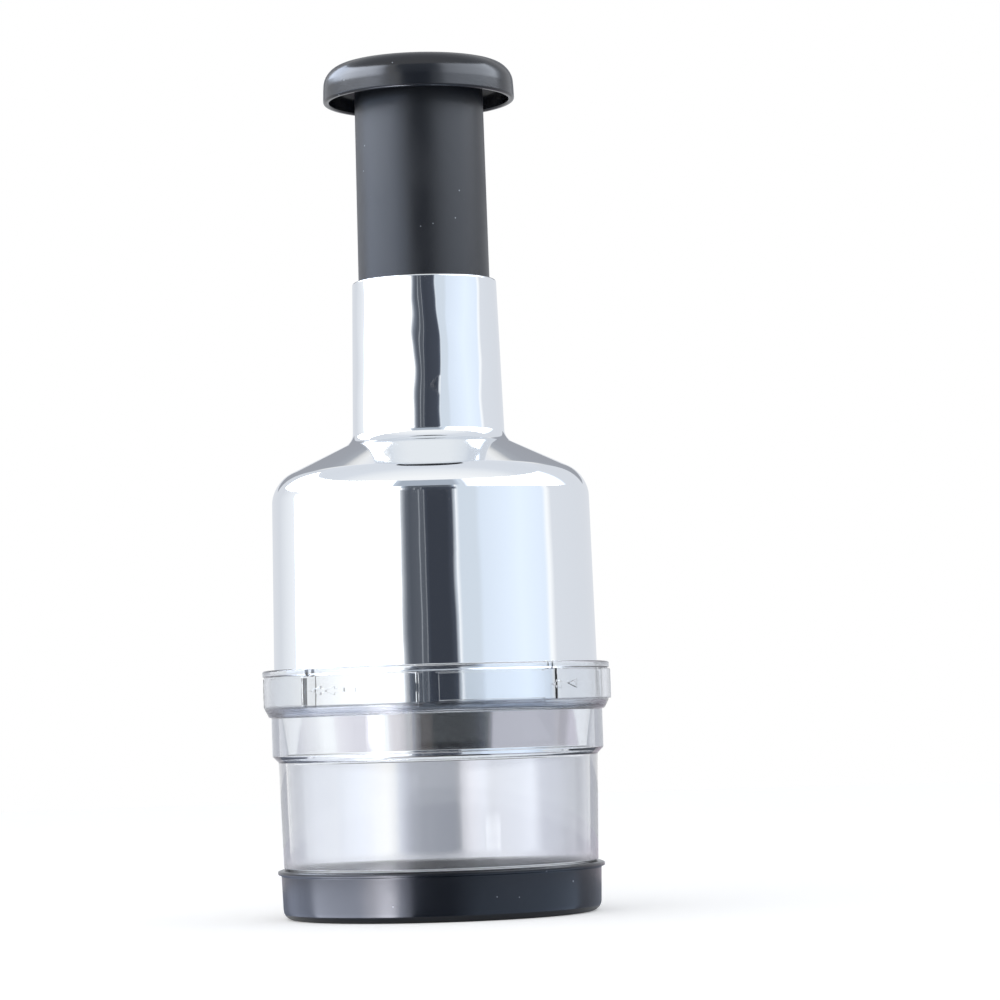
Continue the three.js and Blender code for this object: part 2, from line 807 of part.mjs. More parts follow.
// A zigzag blade: one folded strip, ground to an edge along its foot
function makeBlade() {
  const half = bladeThickness / 2;
  return sweep(zigzag(), [
    [-bladeEdgeWidth, bladeLevel],
    [bladeEdgeWidth, bladeLevel],
    [half, bladeLevel + bladeEdgeHeight],
    [half, bladeTop],
    [-half, bladeTop],
    [-half, bladeLevel + bladeEdgeHeight],
  ]);
}

// A band of one width along the zigzag line
function zigzagBand(half, bottom, top) {
  return sweep(zigzag(), [[-half, bottom], [half, bottom], [half, top], [-half, top]]);
}

// The blade carrier: disc, socket hub, top ribs, and slotted clamps along each zigzag
function makeBladeCarrier() {
  const disc = lathe([
    [0, carrierHubLevel],
    [carrierHubRadius, carrierHubLevel],
    [carrierHubRadius, carrierLevel],
    [carrierRadius, carrierLevel, carrierEdgeRound],
    [carrierRadius, carrierTop, carrierEdgeRound],
    [carrierHubRadius, carrierTop],
    [carrierHubRadius, carrierHubTop],
    [0, carrierHubTop],
  ], shellSides);
  const middle = (carrierLevel + carrierTop) / 2;
  const ribs = around(carrierRibs, () => rib(
    ribThickness, carrierHubRadius - carrierHubFloor / 2, carrierRadius - carrierRibMargin,
    middle, carrierTop + carrierRibRise,
  ));
  const slotHalf = bladeThickness / 2 + play;
  const clamps = around(bladeCount, () => zigzagBand(slotHalf + clampWall, carrierLevel - clampHeight, middle));
  const slots = around(bladeCount, () => zigzagBand(slotHalf, carrierLevel - clampHeight - overrun, carrierLevel));
  const socketFloor = carrierHubLevel + carrierHubFloor;
  const socketSide = tenonSide + 2 * play;
  const socketTop = carrierHubTop + overrun;
  const socket = new THREE.BoxGeometry(socketSide, socketSide, socketTop - socketFloor);
  socket.translate(0, 0, (socketFloor + socketTop) / 2);
  const hole = post(shaftScrewShank + play, carrierHubLevel - overrun, carrierHubTop, 0, screwSides);
  return cut(join(disc, ...ribs, ...clamps), ...slots, socket, hole);
}

// Finishes
const blackPolypropylene = { color: 0x272a2e, roughness: 0.4, metalness: 0 };
const clearStyrene = { color: 0xe4ebf0, roughness: 0.05, metalness: 0, transparent: true, opacity: 0.35 };
const chromedPlastic = { color: 0xe8eaec, roughness: 0.06, metalness: 1 };
const whiteAcetal = { color: 0xeeede6, roughness: 0.5, metalness: 0 };
const stainlessSteel = { color: 0xc9ccd0, roughness: 0.28, metalness: 1 };
const platedSteel = { color: 0xb9bcc2, roughness: 0.35, metalness: 1 };

const chopper = new THREE.Group();

function place(name, geometry, finish) {
  geometry.computeVertexNormals();
  const mesh = new THREE.Mesh(geometry, new THREE.MeshStandardMaterial(finish));
  mesh.name = name;
  chopper.add(mesh);
}

place('base_cap', makeBaseCap(), blackPolypropylene);
place('clear_cup', makeClearCup(), clearStyrene);
place('housing_shell', makeHousingShell(), chromedPlastic);
place('mechanism_plate', makeMechanismPlate(), whiteAcetal);
place('index_nut', makeIndexNut(), whiteAcetal);
place('nut_cover', makeNutCover(), whiteAcetal);
place('return_spring', makeReturnSpring(), stainlessSteel);
place('plunger_tube', makePlungerTube(), blackPolypropylene);
place('knob_cap', makeKnobCap(), blackPolypropylene);
place('blade_shaft', makeBladeShaft(), whiteAcetal);
place('blade_carrier', makeBladeCarrier(), whiteAcetal);

around(bladeCount, makeBlade).forEach((blade, k) => {
  place(`blade_${k + 1}`, blade, stainlessSteel);
});

around(bossCount, () => makeScrew(
  plateLevel - seatGap, 1, plateScrewHead, plateScrewHeadHeight, plateScrewShank, plateScrewLength,
).translate(0, -bossCircle, 0), bossAzimuth).forEach((screw, k) => {
  place(`plate_screw_${k + 1}`, screw, platedSteel);
});

around(coverScrewCount, () => makeScrew(
  coverLevel - seatGap, 1, coverScrewHead, coverScrewHeadHeight, coverScrewShank, coverScrewLength,
).translate(0, -coverScrewCircle, 0), coverScrewAzimuth).forEach((screw, k) => {
  place(`cover_screw_${k + 1}`, screw, platedSteel);
});

const shaftWasherLevel = crownTop + 2 * seatGap;
const shaftScrewSeat = shaftWasherLevel + washerThickness + seatGap;
place('shaft_washer', makeWasher(shaftWasherLevel), stainlessSteel);
place('shaft_screw', makeScrew(
  shaftScrewSeat, -1, shaftScrewHead, shaftScrewHeadHeight, shaftScrewShank, shaftScrewLength,
), platedSteel);

const carrierWasherLevel = carrierHubLevel - seatGap - washerThickness;
place('carrier_washer', makeWasher(carrierWasherLevel), stainlessSteel);
place('carrier_screw', makeScrew(
  carrierWasherLevel - seatGap, 1, shaftScrewHead, shaftScrewHeadHeight, shaftScrewShank, shaftScrewLength,
), platedSteel);

console.log(`least gap between turns of the return spring: ${springGap().toFixed(2)} mm`);

export default chopper;
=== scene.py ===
"""A hand-pressed vegetable chopper, dressed round its fixed frame.

The moulded shells, the blades and their carrier are modelled here in metres, on the frame's axis,
with the front on -Y. An azimuth starts at the front and grows towards +X.
"""

import math
from types import SimpleNamespace

import bmesh
import bpy
from mathutils import Matrix, Vector


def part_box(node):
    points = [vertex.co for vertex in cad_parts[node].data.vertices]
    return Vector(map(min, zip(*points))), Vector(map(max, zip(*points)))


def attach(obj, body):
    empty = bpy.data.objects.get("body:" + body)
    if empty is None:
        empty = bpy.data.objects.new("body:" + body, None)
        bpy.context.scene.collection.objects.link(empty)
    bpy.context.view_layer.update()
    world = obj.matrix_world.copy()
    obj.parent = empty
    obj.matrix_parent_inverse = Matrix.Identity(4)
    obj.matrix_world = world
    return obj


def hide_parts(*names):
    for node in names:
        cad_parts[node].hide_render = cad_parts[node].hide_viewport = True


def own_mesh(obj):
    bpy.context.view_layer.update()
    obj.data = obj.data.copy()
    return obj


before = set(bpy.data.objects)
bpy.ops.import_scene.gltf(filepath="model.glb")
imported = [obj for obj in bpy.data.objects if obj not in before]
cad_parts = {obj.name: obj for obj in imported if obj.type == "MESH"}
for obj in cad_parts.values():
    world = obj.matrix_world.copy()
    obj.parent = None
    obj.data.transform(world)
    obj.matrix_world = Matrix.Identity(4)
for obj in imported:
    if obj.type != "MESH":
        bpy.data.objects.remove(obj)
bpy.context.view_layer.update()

bl_info = {
    "name": "Vegetable Chopper",
    "version": (1, 0, 0),
    "blender": (4, 5, 0),
    "location": "3D View > Sidebar > Chopper",
    "description": "Models and finishes a hand-pressed vegetable chopper and its studio",
    "category": "Add Mesh",
}

MM = 0.001
PLAY = 0.3 * MM
WELD = 1e-6
SHARP_ANGLE = math.radians(32)
IN_LINE = 0.5
NOISE_SPAN = (0.3, 0.7)

# Sectors of the bayonet in degrees, as (start, span), and the tip of the first pad's arrow.
LUGS = 4
LUG_PITCH = 90
LUG_SECTOR = (2, 38)
CHANNEL_SECTOR = (1, 85.5)
PAD_SECTOR = (43, 42)
ARROW_TIP = 47.5

BLADES = 3
ZIGZAG = (-52, -27, 0, 27, 52)
FOLD_STEPS = 12
COIL_STEPS = 36
WIRE_SIDES = 10
RIBS = 6

# Lengths and drafts of the mouldings that the sizes below leave alone.
SHELF = 0.8 * MM
LEDGE_WIDTH = 1.5 * MM
LUG_LIFT = 1.7 * MM
LUG_HEIGHT = 6.5 * MM
LUG_REACH = 1.0 * MM
NECK_WALL = 1.3 * MM
NECK_DRAFT = math.radians(1.4)
CAP_DRAFT = math.radians(1.9)
TUBE_DRAFT = math.radians(0.35)
SHELL_WALL = 1.5 * MM


def stops(*runs):
    """A screen's stops as (place, colour, radiance), from runs of one colour."""
    return [(place, tone, glow) for tone, *marks in runs for place, glow in marks]


# Lit screens of the studio, which only reflections and the clear cup show. A run of a screen has
# its colour, and each stop its azimuth in degrees and its radiance; the mats' azimuths are those
# of the wall that mirrors them, the backdrop's stops run across in millimetres, the back wall's
# upwards and the ceiling's backwards.
TENT = stops(
    ("#EFF2F8", (-180, 0.88), (-140, 0.88)), ("#F6F8FB", (-114, 1.1)),
    ("#FFFFFF", (-98, 1.6), (-24, 1.6), (-20, 1.2), (18, 1.2)), ("#DFE8F2", (21, 0.99), (33, 1.0)),
    ("#E6F0FD", (36, 1.04), (66, 1.2), (88, 1.12)), ("#FFFFFF", (92, 1.15)),
    ("#EFF2F8", (97, 0.94), (140, 0.9), (180, 0.88)),
)
SKIRT_MAT = stops(
    ("#F6F5FF", (-90, 0.7), (-60, 0.72)), ("#F9F8FF", (-57, 0.8)), ("#FCFCFF", (-48, 0.95)),
    ("#FFFFFF", (-44, 1.1), (-40, 1.1)), ("#FDF9FF", (-37, 0.92)),
    ("#FBF6FF", (-30, 0.8), (-24.5, 0.8)), ("#FFFFFF", (-22.5, 1.1), (-17.5, 1.1)),
    ("#FFF8FC", (-15.6, 0.78), (-12.5, 0.66)), ("#FBF8FF", (-10, 0.48), (-7, 0.3)),
    ("#FFF0EE", (-5, 0.09)), ("#FFE8DC", (-2, 0.07)), ("#F0F4FF", (-0.5, 0.01), (9.4, 0.005)),
    ("#DEE2FF", (10.2, 0.01), (19.6, 0.015)),
    ("#F9F4FF", (21.8, 0.5), (49.4, 0.52), (50.4, 0.42), (53.5, 0.45)),
    ("#F9F2FF", (56.5, 0.68), (90, 0.7)),
)
BASE_MAT = stops(
    ("#DBE5FF", (-90, 0.3), (-75, 0.5), (-66, 1.7), (-52.5, 2.5)),
    ("#E4EBFF", (-50.5, 6.4), (-30, 7.2)), ("#F2F3FF", (-24, 10.5), (-20, 16.0), (-17, 15.0)),
    ("#E4EBFF", (-14, 5.6), (-10.5, 2.6)),
    ("#CEE2FF", (-9.2, 0.35), (-5, 0.16), (4, 0.16), (14, 0.9), (56, 1.4)),
    ("#D6DEF0", (59, 0.6), (90, 0.4)),
)
# The backdrop's stops paint light and shade across what the cup shows. Its dim middle, from about
# -20 to 3 mm, is a painted shadow of the chopper on the ground behind it.
BACKDROP_PAINTED_SHADOW = stops(
    ("#EDF1FF", (-240, 0.45), (-120, 0.5)), ("#F0F4FF", (-90, 0.68)), ("#F1F5FF", (-71, 0.85)),
    ("#F2F6FF", (-52, 0.9), (-39, 1.02)), ("#FFFFFF", (-28, 1.02), (-25, 0.96)),
    ("#F2F6FF", (-22.6, 0.82)), ("#EDF1FF", (-20, 0.66)),
    ("#ECF1FF", (-17.6, 0.53), (-14, 0.48), (0.2, 0.43)), ("#F2F5FF", (1.8, 0.46)),
    ("#F6F6FF", (4, 0.74), (7, 0.88)), ("#F2F5FF", (12, 0.95), (16, 0.8)),
    ("#F0F4FF", (28, 0.9), (35, 1.0)), ("#EDF1FF", (41, 0.72), (62, 0.57), (81, 0.45), (240, 0.45)),
)
BACK_WALL = stops(
    ("#E4E8F2", (387, 0.46), (900, 0.5)), ("#E8EDF6", (1040, 0.54)),
    ("#FFFFFF", (1120, 0.8), (1200, 0.95)), ("#F1F5FF", (1400, 0.92)),
)
CEILING = stops(
    ("#FFFFFF", (-1500, 1.06), (-1000, 1.05)), ("#FAFCFF", (-400, 0.98)),
    ("#F4F8FF", (0, 0.88), (600, 0.86), (1500, 0.88)),
)

# The screens' other sizes in metres, where a half is half a width.
FLOOR_RADIUS = 1.45
FLOOR_LIFT = 0.32
MAT_LEVEL = 0.4 * MM
CARD_STEP = 5 * MM
BACKDROP_HEIGHT = 54 * MM
BACK_WALL_HALF, BACK_WALL_DEPTH = 0.61, 1.28
CEILING_HALF = 1.45

# Cards inside the tent: lowest and highest level in millimetres, and their stops. Each stands
# a step nearer the chopper than the one before.
CARDS = [
    ("left_key", 100, 430, stops(("#C8DAF6", (-114, 3.6), (-23, 3.6)))),
    ("left_strip", 30, 56, stops(("#FFFFFF", (-48.5, 4.6), (-36, 4.6)))),
    ("high_key", 600, 1450, stops(
        ("#DEE8FA", (-142, 5.0), (-116, 8.0)), ("#E6EDFA", (-96, 11.0), (-60, 11.0), (-46, 8.0)),
        ("#DEE8FA", (-38, 2.0)),
    )),
    ("right_key", 540, 1480, stops(
        ("#E6EDF8", (26, 0.8), (36, 4.2), (60, 5.4), (110, 6.2), (115, 2.4), (122, 0.95)),
    )),
    ("low_flag", 0, 95, stops(
        ("#D6E3FF", (-16, 0.6), (-13, 0.06), (22, 0.04), (28, 0.2), (34, 0.8)),
    )),
    ("body_flag", 95, 259, stops(
        ("#F4F8FF", (-20.4, 0.8)), ("#EAF0FA", (-18.6, 0.42)), ("#E3EDFF", (-16.6, 0.18)),
        ("#E0EBFF", (-14, 0.13)), ("#E3EDFF", (-7.7, 0.15)),
        ("#F0F6FF", (-7.5, 0.42), (-7.1, 0.42)), ("#E3EDFF", (-6.9, 0.15), (-4, 0.14)),
        ("#F0F6FF", (-3.8, 0.34), (-3.5, 0.34)),
        ("#D6E3FF", (-3.3, 0.1), (-1, 0.07), (12, 0.07), (15.8, 0.11)), ("#EAF0FA", (16.8, 0.5)),
        ("#EAF2FC", (18.4, 0.86)),
    )),
    ("neck_flag", 259, 500, stops(
        ("#F4F8FF", (-19, 0.8)), ("#E3EDFF", (-16.5, 0.3)), ("#E0EBFF", (-13.5, 0.14)),
        ("#E3EDFF", (-10.8, 0.15)), ("#F0F6FF", (-10.6, 0.42), (-10, 0.42)),
        ("#E3EDFF", (-9.8, 0.14), (-6, 0.13)), ("#F0F6FF", (-5.8, 0.34), (-5.3, 0.34)),
        ("#D6E3FF", (-5.1, 0.1), (-1, 0.08), (15, 0.1), (18, 0.16)), ("#EAF2FC", (20, 0.86)),
    )),
    ("high_flag", 500, 720, stops(
        ("#D5E0F0", (-20, 0.9), (-17, 0.35), (-14, 0.18), (14, 0.18), (16.5, 0.35), (18.5, 0.9)),
    )),
    ("top_flag", 720, 1450, stops(("#DCE6F4", (-27, 0.9), (-22, 0.62), (19, 0.62), (23, 0.9)))),
]


def length(name, description, millimetres):
    """A length property whose default is given in millimetres."""
    return bpy.props.FloatProperty(
        name=name, description=description, default=millimetres * MM, precision=5, unit="LENGTH"
    )


def angle(name, description, degrees):
    """An angle property whose default is given in degrees."""
    return bpy.props.FloatProperty(
        name=name, description=description, default=math.radians(degrees), subtype="ANGLE"
    )


def linear(hex_colour):
    """An sRGB hex colour as linear red, green, blue and alpha."""
    channels = [int(hex_colour[i : i + 2], 16) / 255 for i in (1, 3, 5)]
    return [c / 12.92 if c <= 0.04045 else ((c + 0.055) / 1.055) ** 2.4 for c in channels] + [1.0]


def colour(name, description, hex_colour):
    """A colour property whose default is an sRGB hex value."""
    return bpy.props.FloatVectorProperty(
        name=name, description=description, default=linear(hex_colour), subtype="COLOR", size=4,
        min=0, max=1,
    )


class ChopperSizes(bpy.types.PropertyGroup):
    """Sizes of the moulded shells and the blades."""

    cup_bore: length("Cup bore", "Radius inside the clear cup's spigot", 36.8)
    spigot_wall: length("Spigot wall", "Wall of the spigot that the base cap grips", 1.3)
    cup_wall: length("Cup wall", "Wall of the clear cup", 2.0)
    cup_draft: angle("Cup draft", "Draft of the cup's lower wall", 1.5)
    cap_wall: length("Cap wall", "Wall of the base cap", 1.3)
    cap_foot_round: length("Cap foot round", "Round of the base cap's lower edge", 2.5)
    cap_bead: length("Cap bead", "Reach of the bead round the base cap's rim", 0.8)
    seat_width: length("Seat width", "Step of the cup over the base cap's rim", 0.82)
    chamber_height: length("Chamber height", "Height of the cup's lower wall", 26.3)
    step_rise: length("Step rise", "Rise of the step under the window", 1.4)
    window_height: length("Window height", "Height of the clear window round the skirt", 9.6)
    collar_wall: length("Collar wall", "Wall of the collar outside the bayonet channel", 1.15)
    pad_rise: length("Pad rise", "Height of the collar's four raised pads", 0.75)
    skirt_flare: length("Skirt flare", "Widening of the housing's skirt towards its ledge", 1.45)
    body_wall: length("Body wall", "Wall of the chromed body", 1.8)
    body_height: length("Body height", "Height of the body from its ledge to the shoulder", 57.0)
    body_draft: angle("Body draft", "Draft of the body's wall", 0.85)
    shoulder_slope: angle("Shoulder slope", "Slope of the shoulder cone", 25.5)
    shoulder_round: length("Shoulder round", "Round between the body and the shoulder cone", 8.0)
    neck_fillet: length("Neck fillet", "Fillet between the shoulder cone and the neck", 3.5)
    neck_height: length("Neck height", "Height of the neck", 39.9)
    tube_radius: length("Tube radius", "Radius of the plunger tube at the neck's rim", 16.4)
    tube_wall: length("Tube wall", "Wall of the plunger tube", 1.6)
    knob_round: length("Knob round", "Round of the knob's edge", 4.8)
    knob_side: length("Knob side", "Height of the knob's side up to its dome", 8.4)
    knob_crown: length("Knob crown", "Radius of the knob's flatter crown", 11.5)
    blade_thickness: length("Blade thickness", "Thickness of the zigzag blades", 0.6)
    fold_radius: length("Fold radius", "Radius of the blades' folds", 2.2)
    spring_wire: length("Spring wire radius", "Radius of the return spring's wire", 0.8)
    spring_turns: bpy.props.IntProperty(
        name="Spring turns", description="Turns of the return spring", default=12, min=4, max=30
    )
    stroke: length("Stroke", "Travel of the plunger", 38)
    blade_root: length("Blade root", "Radius of the folds nearest the axis", 9.5)
    ground_height: length("Ground height", "Height of the ground edge along a blade's foot", 1.2)
    clamp_height: length("Clamp height", "Height of the carrier's clamps along the blades", 5.0)
    clamp_wall: length("Clamp wall", "Wall of the carrier's clamps", 1.1)
    lip_rise: length("Lip rise", "Reach of the lip round the collar's rim", 0.35)
    mark_rise: length("Mark rise", "Height of the arrows embossed on the collar's pads", 0.4)


class ChopperColours(bpy.types.PropertyGroup):
    """Colours of the finishes."""

    black: colour("Black", "Black polypropylene of the base cap, the knob and the tube", "#161A22")
    chrome: colour("Chrome", "Metallised layer on the housing", "#EDF0F3")
    clear: colour("Clear", "Tint of the clear cup", "#FDFEFF")
    acetal: colour("Acetal", "Natural white acetal of the mechanism", "#E9E6DC")
    stainless: colour("Stainless", "Stainless steel of the blades", "#C3C6C9")
    zinc: colour("Zinc", "Zinc-plated screws and washers", "#B4B8BF")
    floor: colour("Floor", "Pale floor", "#F2F2F2")


class ChopperStudio(bpy.types.PropertyGroup):
    """Camera and light of the studio."""

    lens: bpy.props.FloatProperty(
        name="Lens", description="Focal length in millimetres", default=128.1
    )
    distance: length("Distance", "Camera's distance from the chopper's axis", 886)
    height: length("Height", "Camera's height over the floor", 46.3)
    aside: length("Aside", "Camera's offset to the right of the axis", 17.3)
    pitch: angle("Pitch", "Camera's tilt upwards", 3.62)
    roll: angle("Roll", "Camera's roll clockwise", 1.79)
    tent_radius: length("Tent radius", "Distance of the light tent's wall from the axis", 1500)
    tent_height: length("Tent height", "Height of the light tent's wall", 1500)
    backdrop: length("Backdrop", "Distance of the backdrop that the clear cup shows", 300)
    sky_light: bpy.props.FloatProperty(
        name="Sky light", description="Strength of the world on diffuse surfaces", default=0.7,
        min=0, max=10,
    )


GROUPS = {
    "chopper_sizes": ChopperSizes,
    "chopper_colours": ChopperColours,
    "chopper_studio": ChopperStudio,
}


def layout():
    """The levels and radii that follow from the sizes and the frame, from the floor up."""
    s = bpy.context.scene.chopper_sizes
    at = SimpleNamespace()
    at.cap_bead, _, at.cap_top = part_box("base_cap")[1]
    at.knob, at.flange, at.carrier = (
        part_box(name)[1].x for name in ("knob_cap", "plunger_tube", "blade_carrier")
    )
    at.cup_foot, at.cup_top = (corner.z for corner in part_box("clear_cup"))
    at.skirt_foot_level, at.neck_top_level = (corner.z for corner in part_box("housing_shell"))
    at.knob_rim, at.knob_top = (corner.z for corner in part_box("knob_cap"))
    at.tube_foot, at.tube_top = (corner.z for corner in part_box("plunger_tube"))
    at.blade_foot, at.blade_top = (corner.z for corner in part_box("blade_1"))
    at.hub_foot, at.hub_top = (corner.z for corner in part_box("blade_carrier"))
    at.carrier_foot = at.blade_top + PLAY
    at.carrier_top = at.carrier_foot + 3 * MM
    at.floor_top = at.cup_foot - PLAY
    at.seat = at.cap_top + PLAY
    at.step = at.seat + s.chamber_height
    at.step_top = at.step + s.step_rise
    at.collar_foot = at.step_top + s.window_height
    at.ledge = at.collar_foot + SHELF + PLAY
    at.lug_foot = at.ledge + LUG_LIFT
    at.lug_top = at.lug_foot + LUG_HEIGHT
    at.shoulder_level = at.ledge + s.body_height
    at.spigot = s.cup_bore + s.spigot_wall
    at.cap_bore = at.spigot + PLAY
    at.cap_rim = at.cap_bore + s.cap_wall
    at.cup_seat = at.spigot + s.seat_width
    at.cup_step = at.cup_seat + s.chamber_height * math.tan(s.cup_draft)
    at.skirt_foot = at.cup_step - s.cup_wall - PLAY
    at.skirt_top = at.skirt_foot + s.skirt_flare
    at.window_bore = at.skirt_top + PLAY
    at.window = at.window_bore + s.cup_wall
    at.body = at.skirt_top + LEDGE_WIDTH
    at.collar_bore = at.body + PLAY
    at.lug = at.body + LUG_REACH
    at.channel = at.lug + PLAY
    at.collar = at.channel + s.collar_wall
    at.pad = at.collar + s.pad_rise
    at.shoulder = at.body - s.body_height * math.tan(s.body_draft)
    at.neck_top = s.tube_radius + PLAY + NECK_WALL
    at.neck_base = at.neck_top + s.neck_height * math.tan(NECK_DRAFT)
    at.neck_base_level = at.neck_top_level - s.neck_height
    return at


def polar(radius, azimuth, height=0.0):
    """A point at a radius and an azimuth in degrees."""
    turn = math.radians(azimuth)
    return Vector((radius * math.sin(turn), -radius * math.cos(turn), height))


def azimuth_of(point):
    """The azimuth of a point in degrees, from 0 to 360."""
    return math.degrees(math.atan2(point.x, -point.y)) % 360


def wire(bm, corners, segments, start, closed):
    """A profile of (radius, level, round) corners in the upright plane at an azimuth."""
    verts = [bm.verts.new(polar(corner[0], start, corner[1])) for corner in corners]
    pairs = list(zip(verts, verts[1:])) + ([(verts[-1], verts[0])] if closed else [])
    for pair in pairs:
        bm.edges.new(pair)
    for vert, corner in zip(verts, corners):
        if len(corner) < 3 or not vert.is_valid:
            continue
        before, after = (edge.other_vert(vert).co - vert.co for edge in vert.link_edges)
        half = before.angle(after) / 2
        bmesh.ops.bevel(
            bm, geom=[vert], offset=corner[2] / math.tan(half), offset_type="OFFSET",
            segments=segments, profile=0.5, affect="VERTICES", material=-1,
        )


def turned(corners, segments, steps=180, start=0.0, closed=False):
    """A profile spun a full turn round the axis into one closed shell."""
    bm = bmesh.new()
    wire(bm, corners, segments, start, closed)
    bmesh.ops.spin(
        bm, geom=bm.verts[:] + bm.edges[:], cent=(0, 0, 0), axis=(0, 0, 1), angle=2 * math.pi,
        steps=steps, use_merge=True,
    )
    bmesh.ops.remove_doubles(bm, verts=bm.verts[:], dist=WELD)
    bmesh.ops.recalc_face_normals(bm, faces=bm.faces[:])
    return bm


def band(bm, inner, outer, low, high, sector, pitch=360.0):
    """The faces whose centres lie in a ring, between two levels and in a repeated sector."""
    start, span = sector
    chosen = []
    for face in bm.faces:
        centre = face.calc_center_median()
        if not inner <= centre.xy.length <= outer or not low <= centre.z <= high:
            continue
        if (azimuth_of(centre) - start) % pitch <= span:
            chosen.append(face)
    return chosen


def push(bm, faces, reach, edge_round=0.0, slope=0.0):
    """Extrudes faces along their radius, and may slope the sides and round the edge of what
    stands out."""
    region = {part for face in faces for part in (face, *face.edges, *face.verts)}
    raised = bmesh.ops.extrude_face_region(bm, geom=list(region))["geom"]
    tops = {item for item in raised if isinstance(item, bmesh.types.BMFace)}
    for vert in (item for item in raised if isinstance(item, bmesh.types.BMVert)):
        vert.co.xy *= 1 + reach / vert.co.xy.length
    rim = [edge for edge in bm.edges if len(tops.intersection(edge.link_faces)) == 1]
    moves = {}
    for edge in rim if slope else ():
        (face,) = tops.intersection(edge.link_faces)
        inward = face.calc_center_median() - (edge.verts[0].co + edge.verts[1].co) / 2
        along = (edge.verts[1].co - edge.verts[0].co).normalized()
        inward = (inward - along * inward.dot(along)).normalized() * slope
        for vert in edge.verts:
            known = moves.setdefault(vert, [])
            if all(inward.angle(other) > IN_LINE for other in known):
                known.append(inward)
    for vert, parts in moves.items():
        vert.co += sum(parts, Vector())
    if edge_round:
        bmesh.ops.bevel(
            bm, geom=rim, offset=edge_round, offset_type="OFFSET", segments=3, profile=0.5,
            affect="EDGES", material=-1,
        )


def skin(bm, rings):
    """Closes a row of equal rings of verts into a rod with two flat ends."""
    for here, there in zip(rings, rings[1:]):
        for i in range(len(here)):
            j = (i + 1) % len(here)
            bm.faces.new((here[i], here[j], there[j], there[i]))
    bm.faces.new(rings[0])
    bm.faces.new(rings[-1][::-1])
    bmesh.ops.recalc_face_normals(bm, faces=bm.faces[:])


def add_object(bm, name, material):
    """Turns a bmesh into an object of the scene."""
    mesh = bpy.data.meshes.new(name)
    bm.to_mesh(mesh)
    bm.free()
    mesh.materials.append(material)
    thing = bpy.data.objects.new(name, mesh)
    bpy.context.scene.collection.objects.link(thing)
    return thing


def add_piece(bm, name, material, body, node):
    """Turns a bmesh into a finished piece that rides on its body and stands for its node."""
    for face in bm.faces:
        face.smooth = True
    for edge in bm.edges:
        edge.smooth = not edge.is_manifold or edge.calc_face_angle(0) < SHARP_ANGLE
    piece = add_object(bm, name, material)
    weighted = piece.modifiers.new("Even shading", "WEIGHTED_NORMAL")
    weighted.keep_sharp = True
    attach(piece, body)
    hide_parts(node)
    return piece


def add_node(tree, kind, settings=None):
    """Adds a shader node. A setting is a property of the node or the value of one of its
    sockets, and where it is another node's socket, the two are linked."""
    node = tree.nodes.new(kind)
    for key, value in (settings or {}).items():
        if isinstance(value, bpy.types.NodeSocket):
            tree.links.new(value, node.inputs[key])
        elif isinstance(key, str) and hasattr(node, key):
            setattr(node, key, value)
        else:
            node.inputs[key].default_value = value
    return node


def remap(tree, value, low, high, to_low=0.0, to_high=1.0, **more):
    """A value whose range from low to high is laid onto another range."""
    ends = {"From Min": low, "From Max": high, "To Min": to_low, "To Max": to_high}
    return add_node(tree, "ShaderNodeMapRange", {"Value": value, **ends, **more}).outputs["Result"]


def combine(tree, operation, first, second):
    """Two values joined by an operation."""
    settings = {"operation": operation, 0: first, 1: second}
    return add_node(tree, "ShaderNodeMath", settings).outputs["Value"]


def noise(tree, place, scale, detail, **more):
    """Soft noise with its scale in waves a metre."""
    settings = {"Vector": place, "Scale": scale, "Detail": detail, **more}
    return add_node(tree, "ShaderNodeTexNoise", settings).outputs["Fac"]


def stretched(tree, place, scale):
    """Coordinates with a scale of their own along each axis."""
    return add_node(tree, "ShaderNodeMapping", {"Vector": place, "Scale": scale}).outputs["Vector"]


def level_of(tree, place):
    """The level of a place over the floor."""
    return add_node(tree, "ShaderNodeSeparateXYZ", {"Vector": place}).outputs["Z"]


def bumped(tree, height, strength, distance, **more):
    """The normal of a surface that rises and falls with a height."""
    settings = {"Height": height, "Strength": strength, "Distance": distance, **more}
    return add_node(tree, "ShaderNodeBump", settings).outputs["Normal"]


def tinted(tree, share, plain, mark):
    """A plain colour with a share of a marking colour."""
    settings = {"data_type": "RGBA", 0: share, 6: plain, 7: mark}
    return add_node(tree, "ShaderNodeMix", settings).outputs[2]


def new_material(name):
    """An empty node material and its tree."""
    material = bpy.data.materials.new(name)
    material.use_nodes = True
    material.node_tree.nodes.clear()
    return material, material.node_tree


def finish_of(real, *options, name=None):
    """A piece's material, made on its first use from what one of the functions below gives: the
    settings of a Principled shader for a real material."""
    name = name or real.__name__
    material = bpy.data.materials.get(name)
    if material is None:
        material, tree = new_material(name)
        place = add_node(tree, "ShaderNodeTexCoord").outputs["Object"]
        settings = real(tree, place, bpy.context.scene.chopper_colours, *options)
        shader = add_node(tree, "ShaderNodeBsdfPrincipled", settings)
        add_node(tree, "ShaderNodeOutputMaterial", {"Surface": shader.outputs["BSDF"]})
    return material


